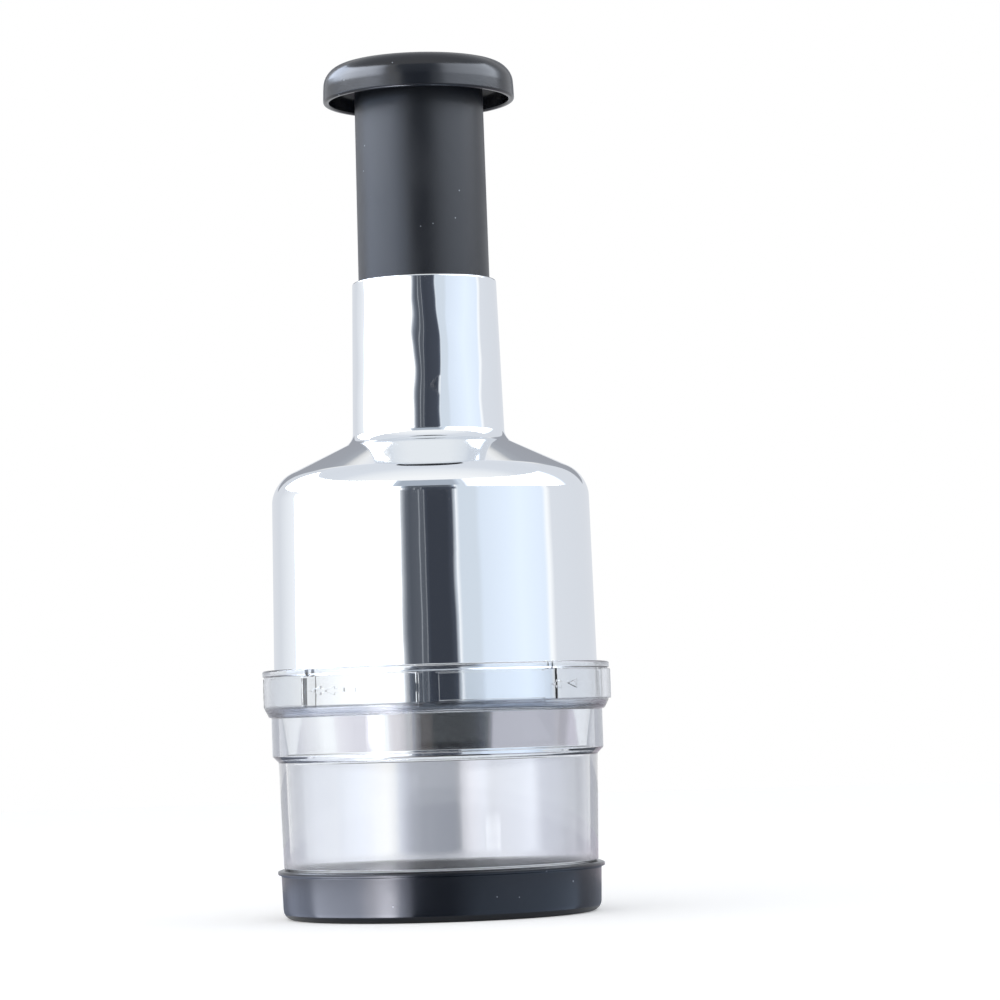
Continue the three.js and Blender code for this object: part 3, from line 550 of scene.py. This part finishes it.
def moulded_polypropylene(tree, place, colours, smooth, dull):
    """Black polypropylene, injection moulded: soft wide highlights that break up a little, a
    blue-black body, faint flow marks and a few specks of dust. The polish of the mould differs
    from piece to piece, and the roughness runs from smooth to dull along the flow marks."""
    # mould grain of 0.3 mm
    grain = bumped(tree, noise(tree, place, 3200.0, 2.0), 0.12, 0.05 * MM)
    flow = noise(tree, place, 70.0, 4.0, Roughness=0.6, Distortion=0.6)
    specks = add_node(
        tree, "ShaderNodeTexVoronoi", {"Vector": place, "Scale": 190.0, "Randomness": 1.0}
    )
    dust = remap(tree, specks.outputs["Distance"], 0.05, 0.03, 0.0, 0.6)
    return {
        "Base Color": tinted(tree, dust, colours.black, linear("#B9C0CA")),
        "Roughness": remap(tree, flow, *NOISE_SPAN, smooth, dull), "IOR": 1.49,
        "Normal": bumped(tree, flow, 0.3, 0.1 * MM, Normal=grain),
    }


def metallised_abs(tree, place, colours):
    """ABS with a vacuum-metallised layer under lacquer: a bright mirror whose reflections
    waver with the moulding under it, most on the thin neck."""
    # sink and flow of the moulding, waves of about 23 mm across and 28 mm up
    waves = noise(tree, stretched(tree, place, (44.0, 44.0, 36.0)), 1.0, 1.5)
    # they grow from the body's to the neck's between two levels of the shoulder
    neck = remap(
        tree, level_of(tree, place), 116 * MM, 133 * MM, 0.12, interpolation_type="SMOOTHSTEP"
    )
    swing = combine(tree, "MULTIPLY", combine(tree, "SUBTRACT", waves, 0.5), neck)
    # orange peel of the lacquer, 2 mm across
    peel = noise(tree, place, 500.0, 1.0)
    return {
        "Base Color": colours.chrome, "Metallic": 1.0, "Roughness": 0.045,
        "Normal": bumped(tree, peel, 0.15, 0.01 * MM, Normal=bumped(tree, swing, 1.0, 1.45 * MM)),
    }


def clear_styrene(tree, place, colours):
    """Clear styrene-acrylonitrile, polished mould: glassy with a cool cast and faint flow lines,
    with a ring of rough streaks round the collar's foot, where the mould parts, tinted grey there
    as a painted shade, a scuffed lip, and a foot that the base cap rubs dull."""
    at = layout()
    height = level_of(tree, place)
    # streaks 0.4 mm high and centimetres long
    streaks = noise(tree, stretched(tree, place, (60.0, 60.0, 2400.0)), 1.0, 3.0)
    rise = remap(tree, height, at.collar_foot, at.collar_foot + 0.3 * MM)
    fall = remap(tree, height, at.collar_foot + 2.2 * MM, at.collar_foot + 2.8 * MM, 1.0, 0.0)
    cloudy = remap(tree, streaks, *NOISE_SPAN, 0.3)
    # the ring of streaks at the collar's foot roughens the plastic and tints it grey as a painted
    # shade
    streaks_and_painted_shade = combine(tree, "MULTIPLY", combine(tree, "MULTIPLY", rise, fall), cloudy)
    lip = remap(tree, height, at.cup_top - 1.7 * MM, at.cup_top - 0.9 * MM, 0.0, 0.4)
    scuffed = combine(tree, "MULTIPLY", lip, streaks)
    rubbed = remap(tree, height, at.seat + 3.0 * MM, at.seat + 1.0 * MM, 0.0, 0.45)
    worn = combine(tree, "ADD", combine(tree, "ADD", streaks_and_painted_shade, scuffed), rubbed)
    flow = noise(tree, place, 120.0, 2.0)
    return {
        # painted shade: the ring at the collar's foot is tinted grey
        "Base Color": tinted(tree, streaks_and_painted_shade, colours.clear, linear("#8A909D")),
        "Roughness": remap(tree, worn, 0.0, 1.0, 0.03, 0.3, clamp=False), "IOR": 1.57,
        "Transmission Weight": 1.0, "Normal": bumped(tree, flow, 0.25, 0.03 * MM),
    }


def natural_acetal(tree, place, colours):
    """Natural acetal, injection moulded: waxy off-white with a soft sheen."""
    grain = noise(tree, place, 900.0, 3.0)
    return {
        "Base Color": colours.acetal,
        "Roughness": remap(tree, grain, *NOISE_SPAN, 0.36, 0.5), "IOR": 1.48,
        "Subsurface Weight": 0.15, "Subsurface Scale": 1.0 * MM,
        "Normal": bumped(tree, grain, 0.2, 0.04 * MM),
    }


def ground_stainless(tree, place, colours):
    """Cold-rolled stainless strip, ground along its length: fine level lines that stretch the
    highlights across them."""
    # grinding lines 0.15 mm apart and centimetres long
    lines = noise(tree, stretched(tree, place, (60.0, 60.0, 7000.0)), 1.0, 2.0)
    return {
        "Base Color": colours.stainless, "Metallic": 1.0,
        "Roughness": remap(tree, lines, *NOISE_SPAN, 0.18, 0.32),
        "Normal": bumped(tree, lines, 0.2, 0.02 * MM),
    }


def zinc_plated_steel(tree, place, colours):
    """Steel with bright zinc plating: a pale bluish metal, slightly cloudy."""
    clouds = noise(tree, place, 700.0, 3.0)
    return {
        "Base Color": colours.zinc, "Metallic": 1.0,
        "Roughness": remap(tree, clouds, *NOISE_SPAN, 0.25, 0.42),
    }


class BuildBaseCap(bpy.types.Operator):
    """Models the black cap that closes the cup's foot"""

    bl_idname = "chopper.base_cap"
    bl_label = "Base Cap"

    def execute(self, context):
        s, at = context.scene.chopper_sizes, layout()
        foot = at.cap_rim - at.cap_top * math.tan(CAP_DRAFT)
        ring, recess = foot - 6.3 * MM, 0.8 * MM
        bead = at.cap_top - 1.4 * MM
        bm = turned([
            (0, recess),
            (ring, recess, 0.3 * MM),
            (ring, 0, 0.2 * MM),
            (foot, 0, s.cap_foot_round),
            (at.cap_rim - 0.05 * MM, bead, 0.25 * MM),
            (at.cap_bead, bead + 0.35 * MM, 0.3 * MM),
            (at.cap_bead, at.cap_top - 0.3 * MM, 0.3 * MM),
            (at.cap_rim, at.cap_top, 0.3 * MM),
            (at.cap_bore, at.cap_top, 0.2 * MM),
            (at.cap_bore, at.floor_top, 0.8 * MM),
            (0, at.floor_top),
        ], 5)
        satin = finish_of(moulded_polypropylene, 0.17, 0.25, name="satin_polypropylene")
        add_piece(bm, "moulded_base_cap", satin, "base", "base_cap")
        return {"FINISHED"}


class BuildClearCup(bpy.types.Operator):
    """Models the clear cup with its stepped window, its collar, pads and bayonet channels"""

    bl_idname = "chopper.clear_cup"
    bl_label = "Clear Cup"

    def execute(self, context):
        s, at = context.scene.chopper_sizes, layout()
        channel_foot, channel_top = at.lug_foot - PLAY, at.lug_top + PLAY
        pad_foot, pad_top = at.collar_foot + 2.4 * MM, at.cup_top - 1.8 * MM
        mark = (pad_foot + pad_top) / 2
        lip = at.collar + s.lip_rise
        inner_step = at.cup_step - s.cup_wall
        bm = turned([
            (s.cup_bore, at.cup_foot, 0.4 * MM),
            (at.spigot, at.cup_foot, 0.4 * MM),
            (at.spigot, at.seat, 0.3 * MM),
            (at.cup_seat, at.seat, 0.3 * MM),
            (at.cup_step, at.step, 0.5 * MM),
            (at.window, at.step_top, 0.4 * MM),
            (at.window, at.collar_foot, 0.2 * MM),
            (at.collar - 1.1 * MM, at.collar_foot, 0.4 * MM),
            (at.collar, at.collar_foot + 2.1 * MM, 0.9 * MM),
            (at.collar, pad_foot),
            *[(at.collar, mark + height * MM) for height in (-1.1, -0.45, 0.45, 1.1)],
            (at.collar, pad_top),
            (at.collar, pad_top + 0.2 * MM, 0.1 * MM),
            (lip, pad_top + 0.4 * MM, 0.1 * MM),
            (lip, at.cup_top, 0.5 * MM),
            (at.channel, at.cup_top),
            (at.collar_bore, at.cup_top, 0.25 * MM),
            (at.collar_bore, channel_top),
            (at.collar_bore, channel_foot),
            (at.collar_bore, at.collar_foot + SHELF),
            (at.window_bore, at.collar_foot + SHELF, 0.3 * MM),
            (at.window_bore, at.step_top, 0.4 * MM),
            (inner_step, at.step, 0.4 * MM),
        ], 4, steps=240, start=1.0, closed=True)
        near = 0.2 * MM
        channels = band(
            bm, at.collar_bore - near, at.collar_bore + near, channel_foot, channel_top,
            CHANNEL_SECTOR, LUG_PITCH,
        )
        push(bm, channels, at.channel - at.collar_bore)
        pads = band(
            bm, at.collar - near, at.collar + near, pad_foot, pad_top, PAD_SECTOR, LUG_PITCH
        )
        push(bm, pads, at.pad - at.collar, 0.2 * MM, slope=0.1 * MM)
        for turn in range(0, LUGS * LUG_PITCH, LUG_PITCH):
            self.emboss_arrow(bm, at, mark, ARROW_TIP + turn)
            self.open_entry(bm, at, channel_top, PAD_SECTOR[0] + turn)
        bmesh.ops.recalc_face_normals(bm, faces=bm.faces[:])
        clear = finish_of(clear_styrene)
        add_piece(bm, "moulded_clear_cup", clear, "cup", "clear_cup")
        return {"FINISHED"}

    def emboss_arrow(self, bm, at, mark, tip):
        """Raises an arrow on a pad: a pointed head of three columns of faces and a shaft of six."""
        column, inner, outer = 1.5, at.pad - 0.1 * MM, at.pad + 0.1 * MM
        for vert in bm.verts:
            along = ((azimuth_of(vert.co) - tip + 180) % 360 - 180) / column
            height = vert.co.z - mark
            if inner < vert.co.xy.length < outer and -0.1 < along < 2.9 and abs(height) < 2 * MM:
                vert.co.z = mark + height * max(along, 0.1) / 3
        head = band(bm, inner, outer, mark - MM, mark + MM, (tip, 3 * column))
        shaft = band(
            bm, inner, outer, mark - 0.4 * MM, mark + 0.4 * MM, (tip + 3 * column, 6 * column)
        )
        push(bm, head + shaft, bpy.context.scene.chopper_sizes.mark_rise, 0.12 * MM)

    def open_entry(self, bm, at, channel_top, start):
        """Cuts the retaining rib away over one channel, so that a lug can drop in."""
        near = 0.02 * MM
        rib = band(
            bm, at.collar_bore - near, at.channel - near, channel_top - near, at.cup_top + near,
            (start, PAD_SECTOR[1]),
        )
        bmesh.ops.delete(bm, geom=rib, context="FACES")
        arcs = [
            edge for edge in bm.edges
            if edge.is_boundary and abs(edge.verts[0].co.z - edge.verts[1].co.z) < WELD
            and all(abs(vert.co.xy.length - at.channel) < near for vert in edge.verts)
        ]
        bmesh.ops.bridge_loops(bm, edges=arcs)
        ends = [edge for edge in bm.edges if edge.is_boundary]
        bmesh.ops.holes_fill(bm, edges=ends, sides=24)


class BuildHousing(bpy.types.Operator):
    """Models the chromed housing with its skirt, body, shoulder, neck and bayonet lugs"""

    bl_idname = "chopper.housing"
    bl_label = "Chromed Housing"

    def execute(self, context):
        s, at = context.scene.chopper_sizes, layout()
        slope = math.tan(s.shoulder_slope)
        drop = s.body_wall / math.cos(s.shoulder_slope)
        inner_shoulder = at.shoulder - s.body_wall
        inner_neck = at.neck_base - NECK_WALL
        ledge_top = at.ledge + SHELL_WALL

        def under_cone(radius):
            return radius, at.shoulder_level - drop + (at.shoulder - radius) * slope

        def on_body(height):
            return at.body - (height - at.ledge) * math.tan(s.body_draft), height

        bm = turned([
            (at.skirt_foot - SHELL_WALL, at.skirt_foot_level, 0.3 * MM),
            (at.skirt_foot, at.skirt_foot_level, 0.4 * MM),
            (at.skirt_top, at.ledge, 0.3 * MM),
            (at.body, at.ledge, 0.4 * MM),
            on_body(at.lug_foot),
            on_body(at.lug_top),
            (at.shoulder, at.shoulder_level, s.shoulder_round),
            (at.neck_base, at.neck_base_level, s.neck_fillet),
            (at.neck_top, at.neck_top_level, 0.5 * MM),
            (at.neck_top - NECK_WALL, at.neck_top_level, 0.4 * MM),
            under_cone(inner_neck),
            (*under_cone(inner_shoulder), s.shoulder_round - s.body_wall),
            (at.body - s.body_wall, ledge_top),
            (at.skirt_top - SHELL_WALL, ledge_top),
        ], 10, closed=True)
        lugs = band(
            bm, at.body - 0.3 * MM, at.body + 0.1 * MM, at.lug_foot, at.lug_top,
            LUG_SECTOR, LUG_PITCH,
        )
        push(bm, lugs, at.lug - at.body, 0.08 * MM)
        chrome = finish_of(metallised_abs)
        add_piece(bm, "chromed_housing", chrome, "housing", "housing_shell")
        return {"FINISHED"}


class BuildPlunger(bpy.types.Operator):
    """Models the plunger tube and the knob on its top"""

    bl_idname = "chopper.plunger"
    bl_label = "Plunger and Knob"

    def execute(self, context):
        s, at = context.scene.chopper_sizes, layout()
        rise = math.tan(TUBE_DRAFT)
        flange_top = at.tube_foot + 2 * MM
        foot = s.tube_radius - (flange_top - at.neck_top_level) * rise
        head = s.tube_radius - (at.tube_top - at.neck_top_level) * rise
        cone_top = flange_top + (at.flange - foot) * math.tan(s.shoulder_slope)
        bore = head - s.tube_wall
        crown = at.tube_top - 4.9 * MM
        crown_foot, shank = crown - 3 * MM, 3.3 * MM
        tube = turned([
            (foot - s.tube_wall, at.tube_foot, 0.3 * MM),
            (at.flange, at.tube_foot, 0.3 * MM),
            (at.flange, flange_top, 0.3 * MM),
            (foot, cone_top, 0.5 * MM),
            (head, at.tube_top, 0.3 * MM),
            (bore, at.tube_top),
            (bore, crown, 0.5 * MM),
            (shank, crown, 0.3 * MM),
            (shank, crown_foot),
            (bore, crown_foot, 0.5 * MM),
        ], 4, steps=144, closed=True)
        matt = finish_of(moulded_polypropylene, 0.32, 0.42, name="matt_polypropylene")
        add_piece(tube, "moulded_plunger_tube", matt, "plunger", "plunger_tube")
        ceiling, inside = at.knob_rim + 6.5 * MM, at.knob_top - 3.2 * MM
        plug, plug_foot = bore - PLAY, ceiling - 4.3 * MM
        knob = turned([
            (0, inside),
            (plug - SHELL_WALL, inside),
            (plug - SHELL_WALL, plug_foot, 0.3 * MM),
            (plug, plug_foot, 0.3 * MM),
            (plug, ceiling),
            (at.knob - SHELL_WALL, ceiling, 3.4 * MM),
            (at.knob - SHELL_WALL, at.knob_rim, 0.5 * MM),
            (at.knob, at.knob_rim, 0.6 * MM),
            (at.knob - 0.1 * MM, at.knob_rim + 0.4 * s.knob_side, 12 * MM),
            (at.knob - 0.5 * MM, at.knob_rim + s.knob_side, s.knob_round),
            (s.knob_crown, at.knob_top - 0.6 * MM, 60 * MM),
            (0, at.knob_top),
        ], 10)
        glossy = finish_of(moulded_polypropylene, 0.15, 0.22, name="glossy_polypropylene")
        add_piece(knob, "moulded_knob", glossy, "plunger", "knob_cap")
        return {"FINISHED"}


def zigzag(s, at):
    """The line of one blade in plan: points with their headings, straight legs and round folds."""
    reach, last = at.carrier - 2.8 * MM, len(ZIGZAG) - 1
    folds = []
    for index, azimuth in enumerate(ZIGZAG):
        bend = 0 if index in (0, last) else s.fold_radius
        outward = index % 2 == 0
        middle = polar(reach - bend if outward else s.blade_root + bend, azimuth)
        folds.append((middle, bend if outward else -bend))
    headings = []
    for (middle, bend), (following, next_bend) in zip(folds, folds[1:]):
        leg = following - middle
        headings.append(math.atan2(leg.y, leg.x) - math.asin((next_bend - bend) / leg.length))
    line = []
    for index, (middle, bend) in enumerate(folds):
        into, out = headings[max(index - 1, 0)], headings[min(index, last - 1)]
        turn = math.atan2(math.sin(out - into), math.cos(out - into))
        steps = FOLD_STEPS if bend else 0
        for k in range(steps + 1):
            heading = into + (turn * k / steps if steps else 0)
            side = Vector((math.sin(heading), -math.cos(heading), 0))
            line.append((middle + bend * side, heading))
    return line


def swept(bm, line, section, turn):
    """A section of (across, level) corners swept along a line in plan and turned about the axis."""
    spin = Matrix.Rotation(math.radians(turn), 3, "Z")
    rings = []
    for point, heading in line:
        side = Vector((-math.sin(heading), math.cos(heading), 0))
        corners = (point + side * across + Vector((0, 0, z)) for across, z in section)
        rings.append([bm.verts.new(spin @ corner) for corner in corners])
    skin(bm, rings)


class BuildSpring(bpy.types.Operator):
    """Models the return spring, which on the real chopper shortens as the plunger is pressed"""

    bl_idname = "chopper.return_spring"
    bl_label = "Return Spring"

    def execute(self, context):
        s = context.scene.chopper_sizes
        low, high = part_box("return_spring")
        coil = max(-low.x, -low.y, high.x, high.y) - s.spring_wire
        foot, top = low.z + s.spring_wire, high.z - s.spring_wire
        closed = 2 * s.spring_wire + 0.5 * MM
        pitch = (top - foot - 2 * closed) / (s.spring_turns - 2)
        sides = [math.radians(360 * side / WIRE_SIDES) for side in range(WIRE_SIDES)]
        bm = bmesh.new()
        rings = []
        for k in range(s.spring_turns * COIL_STEPS + 1):
            turn = k / COIL_STEPS
            opened = min(max(turn - 1, 0), s.spring_turns - 2)
            height = foot + closed * (turn - opened) + pitch * opened
            rings.append([
                bm.verts.new(polar(
                    coil + s.spring_wire * math.cos(side), 360 * turn,
                    height + s.spring_wire * math.sin(side),
                ))
                for side in sides
            ])
        skin(bm, rings)
        steel = finish_of(ground_stainless)
        piece = add_piece(bm, "coiled_spring", steel, "housing", "return_spring")
        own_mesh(piece)
        return {"FINISHED"}


class BuildBlades(bpy.types.Operator):
    """Models the three folded zigzag blades with the edge ground along their feet"""

    bl_idname = "chopper.blades"
    bl_label = "Zigzag Blades"

    def execute(self, context):
        s, at = context.scene.chopper_sizes, layout()
        half, edge, shoulder = s.blade_thickness / 2, 0.06 * MM, at.blade_foot + s.ground_height
        section = [
            (-edge, at.blade_foot), (edge, at.blade_foot), (half, shoulder),
            (half, at.blade_top), (-half, at.blade_top), (-half, shoulder),
        ]
        for k in range(BLADES):
            bm = bmesh.new()
            swept(bm, zigzag(s, at), section, 360 / BLADES * k)
            name = f"blade_{k + 1}"
            add_piece(bm, f"ground_{name}", finish_of(ground_stainless), "blades", name)
        return {"FINISHED"}


class BuildCarrier(bpy.types.Operator):
    """Models the white disc that carries the blades in slotted clamps"""

    bl_idname = "chopper.carrier"
    bl_label = "Blade Carrier"

    def execute(self, context):
        s, at = context.scene.chopper_sizes, layout()
        hub, bore = 8 * MM, 1.9 * MM
        bm = turned([
            (bore, at.hub_foot),
            (hub, at.hub_foot, 0.5 * MM),
            (hub, at.carrier_foot, 0.4 * MM),
            (at.carrier, at.carrier_foot, 0.8 * MM),
            (at.carrier, at.carrier_top, 0.8 * MM),
            (hub, at.carrier_top, 0.5 * MM),
            (hub, at.hub_top, 0.5 * MM),
            (bore, at.hub_top),
        ], 4, steps=120, closed=True)
        slot = s.blade_thickness / 2 + PLAY
        foot, top = at.blade_top - s.clamp_height + PLAY, at.carrier_foot + 0.5 * MM
        chamfer = foot + 0.3 * MM
        for k in range(BLADES):
            for side in (-1, 1):
                inner, outer = side * slot, side * (slot + s.clamp_wall)
                edge = inner + (outer - inner) * 0.3
                section = [
                    (edge, foot), (outer, chamfer), (outer, top), (inner, top), (inner, chamfer),
                ]
                swept(bm, zigzag(s, at), section, 360 / BLADES * k)
        self.add_ribs(bm, at)
        white = finish_of(natural_acetal)
        add_piece(bm, "moulded_carrier", white, "blades", "blade_carrier")
        return {"FINISHED"}

    def add_ribs(self, bm, at):
        """Adds the low ribs that stiffen the disc's upper face."""
        low, high, half = at.carrier_top - 0.5 * MM, at.carrier_top + 1.5 * MM, 0.8 * MM
        edge = 0.3 * MM
        section = [
            (-half, low), (half, low), (half, high - edge), (half - edge, high),
            (edge - half, high), (-half, high - edge),
        ]
        line = [(polar(radius, 0), math.radians(-90)) for radius in (7 * MM, at.carrier - 4 * MM)]
        for k in range(RIBS):
            swept(bm, line, section, 360 / RIBS * k)


class FinishInnerPieces(bpy.types.Operator):
    """Gives the mechanism's pieces their finishes"""

    bl_idname = "chopper.inner_pieces"
    bl_label = "Inner Pieces"

    def execute(self, context):
        acetal = {"mechanism_plate", "index_nut", "nut_cover", "blade_shaft"}
        for name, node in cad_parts.items():
            if node.hide_render:
                continue
            for slot in node.material_slots:
                slot.material = finish_of(natural_acetal if name in acetal else zinc_plated_steel)
        return {"FINISHED"}


class BuildStudio(bpy.types.Operator):
    """Sets the floor, the light cards, the world and the camera"""

    bl_idname = "chopper.studio"
    bl_label = "Studio"

    def execute(self, context):
        studio = context.scene.chopper_studio
        self.add_world(context, studio)
        self.add_floor(context)
        self.add_tent(studio)
        self.add_mats(studio)
        for index, (name, low, high, marks) in enumerate(CARDS):
            ends = self.upright(studio.tent_radius - (index + 1) * CARD_STEP, low * MM, high * MM)
            also = ("transmission",) if name.endswith("key") else ()
            self.add_screen(name, marks, ends, "diffuse", "shadow", *also)
        self.add_camera(context, studio)
        context.scene.view_settings.view_transform = "Standard"
        return {"FINISHED"}

    def add_world(self, context, studio):
        """White for the rays that show it, and softer on diffuse surfaces."""
        world = bpy.data.worlds.new("studio_world")
        context.scene.world = world
        world.use_nodes = True
        tree = world.node_tree
        tree.nodes.clear()
        path = add_node(tree, "ShaderNodeLightPath").outputs
        seen = combine(tree, "MAXIMUM", path["Is Camera Ray"], path["Is Glossy Ray"])
        shown = combine(tree, "MAXIMUM", seen, path["Is Transmission Ray"])
        strength = remap(tree, shown, 0.0, 1.0, studio.sky_light, 1.0)
        white = add_node(
            tree, "ShaderNodeBackground", {"Color": (1, 1, 1, 1), "Strength": strength}
        )
        add_node(tree, "ShaderNodeOutputWorld", {"Surface": white.outputs["Background"]})

    def add_floor(self, context):
        """A wide pale disc under the chopper that keeps its shadow, a little lifted where it is
        seen."""
        material, tree = new_material("pale_floor")
        path = add_node(tree, "ShaderNodeLightPath").outputs
        tone = context.scene.chopper_colours.floor
        pale = add_node(tree, "ShaderNodeBsdfDiffuse", {"Color": tone})
        seen = combine(tree, "MAXIMUM", path["Is Camera Ray"], path["Is Transmission Ray"])
        lift = combine(tree, "MULTIPLY", seen, FLOOR_LIFT)
        glow = add_node(tree, "ShaderNodeEmission", {"Color": (1, 1, 1, 1), "Strength": lift})
        both = add_node(
            tree, "ShaderNodeAddShader", {0: pale.outputs["BSDF"], 1: glow.outputs["Emission"]}
        )
        add_node(tree, "ShaderNodeOutputMaterial", {"Surface": both.outputs["Shader"]})
        bm = bmesh.new()
        bmesh.ops.create_circle(bm, cap_ends=True, segments=96, radius=FLOOR_RADIUS)
        add_object(bm, "floor", material)

    def add_tent(self, studio):
        """A wall of lit cloth round the chopper, less bright at the sides where it shows through
        the clear cup, so that the cup stands out against it."""
        ends = self.upright(studio.tent_radius, 20 * MM, studio.tent_height)
        self.add_screen("light_tent", TENT, ends, "transmission")
        front, dim = 80, 0.9
        beyond = [
            (turn, tone, glow if abs(turn) <= front else min(glow, dim))
            for turn, tone, glow in TENT
        ]
        self.add_screen("tent_beyond", beyond, ends, "glossy")

    def add_mats(self, studio):
        """The floor as the skirt and the base cap mirror it, and what shows through the cup."""
        at = layout()
        skirt = self.mirrored(studio, at.skirt_top, 135 * MM, 450 * MM)
        self.add_screen("skirt_mat", SKIRT_MAT, skirt, "diffuse", "shadow")
        base = self.mirrored(studio, at.cap_rim, 0.6 * MM, 130 * MM)
        self.add_screen("base_mat", BASE_MAT, base, "diffuse", "shadow", "transmission")
        # the backdrop's dim middle is a painted shadow, which the clear cup shows
        self.add_screen("backdrop", BACKDROP_PAINTED_SHADOW, lambda across: [
            Vector((across * MM, studio.backdrop, height)) for height in (0, BACKDROP_HEIGHT)
        ], "diffuse", "shadow", "glossy")
        self.add_screen("back_wall", BACK_WALL, lambda height: [
            Vector((side * BACK_WALL_HALF, BACK_WALL_DEPTH, height * MM)) for side in (-1, 1)
        ], "diffuse", "shadow", "transmission")
        self.add_screen("ceiling", CEILING, lambda depth: [
            Vector((side * CEILING_HALF, depth * MM, studio.tent_height)) for side in (-1, 1)
        ], "diffuse", "shadow", "transmission")

    def upright(self, radius, low, high):
        """The lower and upper point of an upright wall at an azimuth."""
        return lambda azimuth: (polar(radius, azimuth, low), polar(radius, azimuth, high))

    def mirrored(self, studio, wall, near, far):
        """The near and far point on the floor that a round wall mirrors at one of its azimuths."""
        def ends(azimuth):
            foot = polar(wall, azimuth, MAT_LEVEL)
            lens = azimuth_of(Vector((studio.aside, -studio.distance, 0)) - foot)
            way = polar(1, 2 * azimuth - lens)
            return foot + way * near, foot + way * far
        return ends

    def add_screen(self, name, marks, ends, *unseen_by):
        """A lit screen with its stops in a colour ramp along it and a face every two degrees or
        millimetres, up to 180 faces. The camera and the kinds of ray named don't see it."""
        first, last = marks[0][0], marks[-1][0]
        count = min(180, max(2, round((last - first) / 2)))
        bm = bmesh.new()
        share = bm.loops.layers.uv.new("share")
        rows = []
        for k in range(count + 1):
            rows.append([bm.verts.new(point) for point in ends(first + (last - first) * k / count)])
        for k, (here, there) in enumerate(zip(rows, rows[1:])):
            face = bm.faces.new((here[0], there[0], there[1], here[1]))
            for loop, step in zip(face.loops, (k, k + 1, k + 1, k)):
                loop[share].uv = (step / count, 0.5)
        screen = add_object(bm, name, self.lit_ramp(name, marks))
        for ray in ("camera", *unseen_by):
            setattr(screen, f"visible_{ray}", False)

    def lit_ramp(self, name, marks):
        """A glow whose colour and radiance follow the stops along the screen."""
        material, tree = new_material(name)
        first, last = marks[0][0], marks[-1][0]
        brightest = max(glow for _, _, glow in marks)
        uv = add_node(tree, "ShaderNodeUVMap").outputs["UV"]
        split = add_node(tree, "ShaderNodeSeparateXYZ", {"Vector": uv})
        ramp = add_node(tree, "ShaderNodeValToRGB", {"Fac": split.outputs["X"]})
        elements = ramp.color_ramp.elements
        elements.remove(elements[0])
        for index, (place, shade, radiance) in enumerate(marks):
            share = (place - first) / (last - first)
            stop = elements[0] if index == 0 else elements.new(share)
            stop.position = share
            stop.color = [channel * radiance / brightest for channel in linear(shade)[:3]] + [1.0]
        glow = add_node(
            tree, "ShaderNodeEmission", {"Strength": brightest, "Color": ramp.outputs["Color"]}
        )
        add_node(tree, "ShaderNodeOutputMaterial", {"Surface": glow.outputs["Emission"]})
        return material

    def add_camera(self, context, studio):
        """The camera at the photograph's angle."""
        camera = bpy.data.objects.new("camera", bpy.data.cameras.new("camera"))
        context.scene.collection.objects.link(camera)
        camera.data.lens = studio.lens
        camera.data.sensor_width = 36
        place = Matrix.Translation((studio.aside, -studio.distance, studio.height))
        tilt = Matrix.Rotation(math.pi / 2 + studio.pitch, 4, "X")
        camera.matrix_world = place @ (tilt @ Matrix.Rotation(-studio.roll, 4, "Z"))
        context.scene.camera = camera


OPERATORS = (
    BuildBaseCap, BuildClearCup, BuildHousing, BuildPlunger, BuildSpring, BuildBlades, BuildCarrier,
    FinishInnerPieces, BuildStudio,
)


class ChopperPanel(bpy.types.Panel):
    """Lists the chopper's settings and the operators that build it"""

    bl_idname = "VIEW3D_PT_chopper"
    bl_label = "Vegetable Chopper"
    bl_space_type = "VIEW_3D"
    bl_region_type = "UI"
    bl_category = "Chopper"

    def draw(self, context):
        for group, kind in GROUPS.items():
            box = self.layout.box()
            for name in kind.__annotations__:
                box.prop(getattr(context.scene, group), name)
        for operator in OPERATORS:
            self.layout.operator(operator.bl_idname)


def register():
    """Registers the classes and hangs the property groups on the scene."""
    for kind in (*GROUPS.values(), *OPERATORS, ChopperPanel):
        bpy.utils.register_class(kind)
    for group, kind in GROUPS.items():
        setattr(bpy.types.Scene, group, bpy.props.PointerProperty(type=kind))


def unregister():
    """Takes the property groups and the classes away again."""
    for group in GROUPS:
        delattr(bpy.types.Scene, group)
    for kind in (ChopperPanel, *reversed(OPERATORS), *reversed(GROUPS.values())):
        bpy.utils.unregister_class(kind)


def main():
    """Builds the chopper and its studio."""
    register()
    bpy.ops.chopper.base_cap()
    bpy.ops.chopper.clear_cup()
    bpy.ops.chopper.housing()
    bpy.ops.chopper.plunger()
    bpy.ops.chopper.return_spring()
    bpy.ops.chopper.blades()
    bpy.ops.chopper.carrier()
    bpy.ops.chopper.inner_pieces()
    bpy.ops.chopper.studio()


if __name__ == "__main__":
    main()
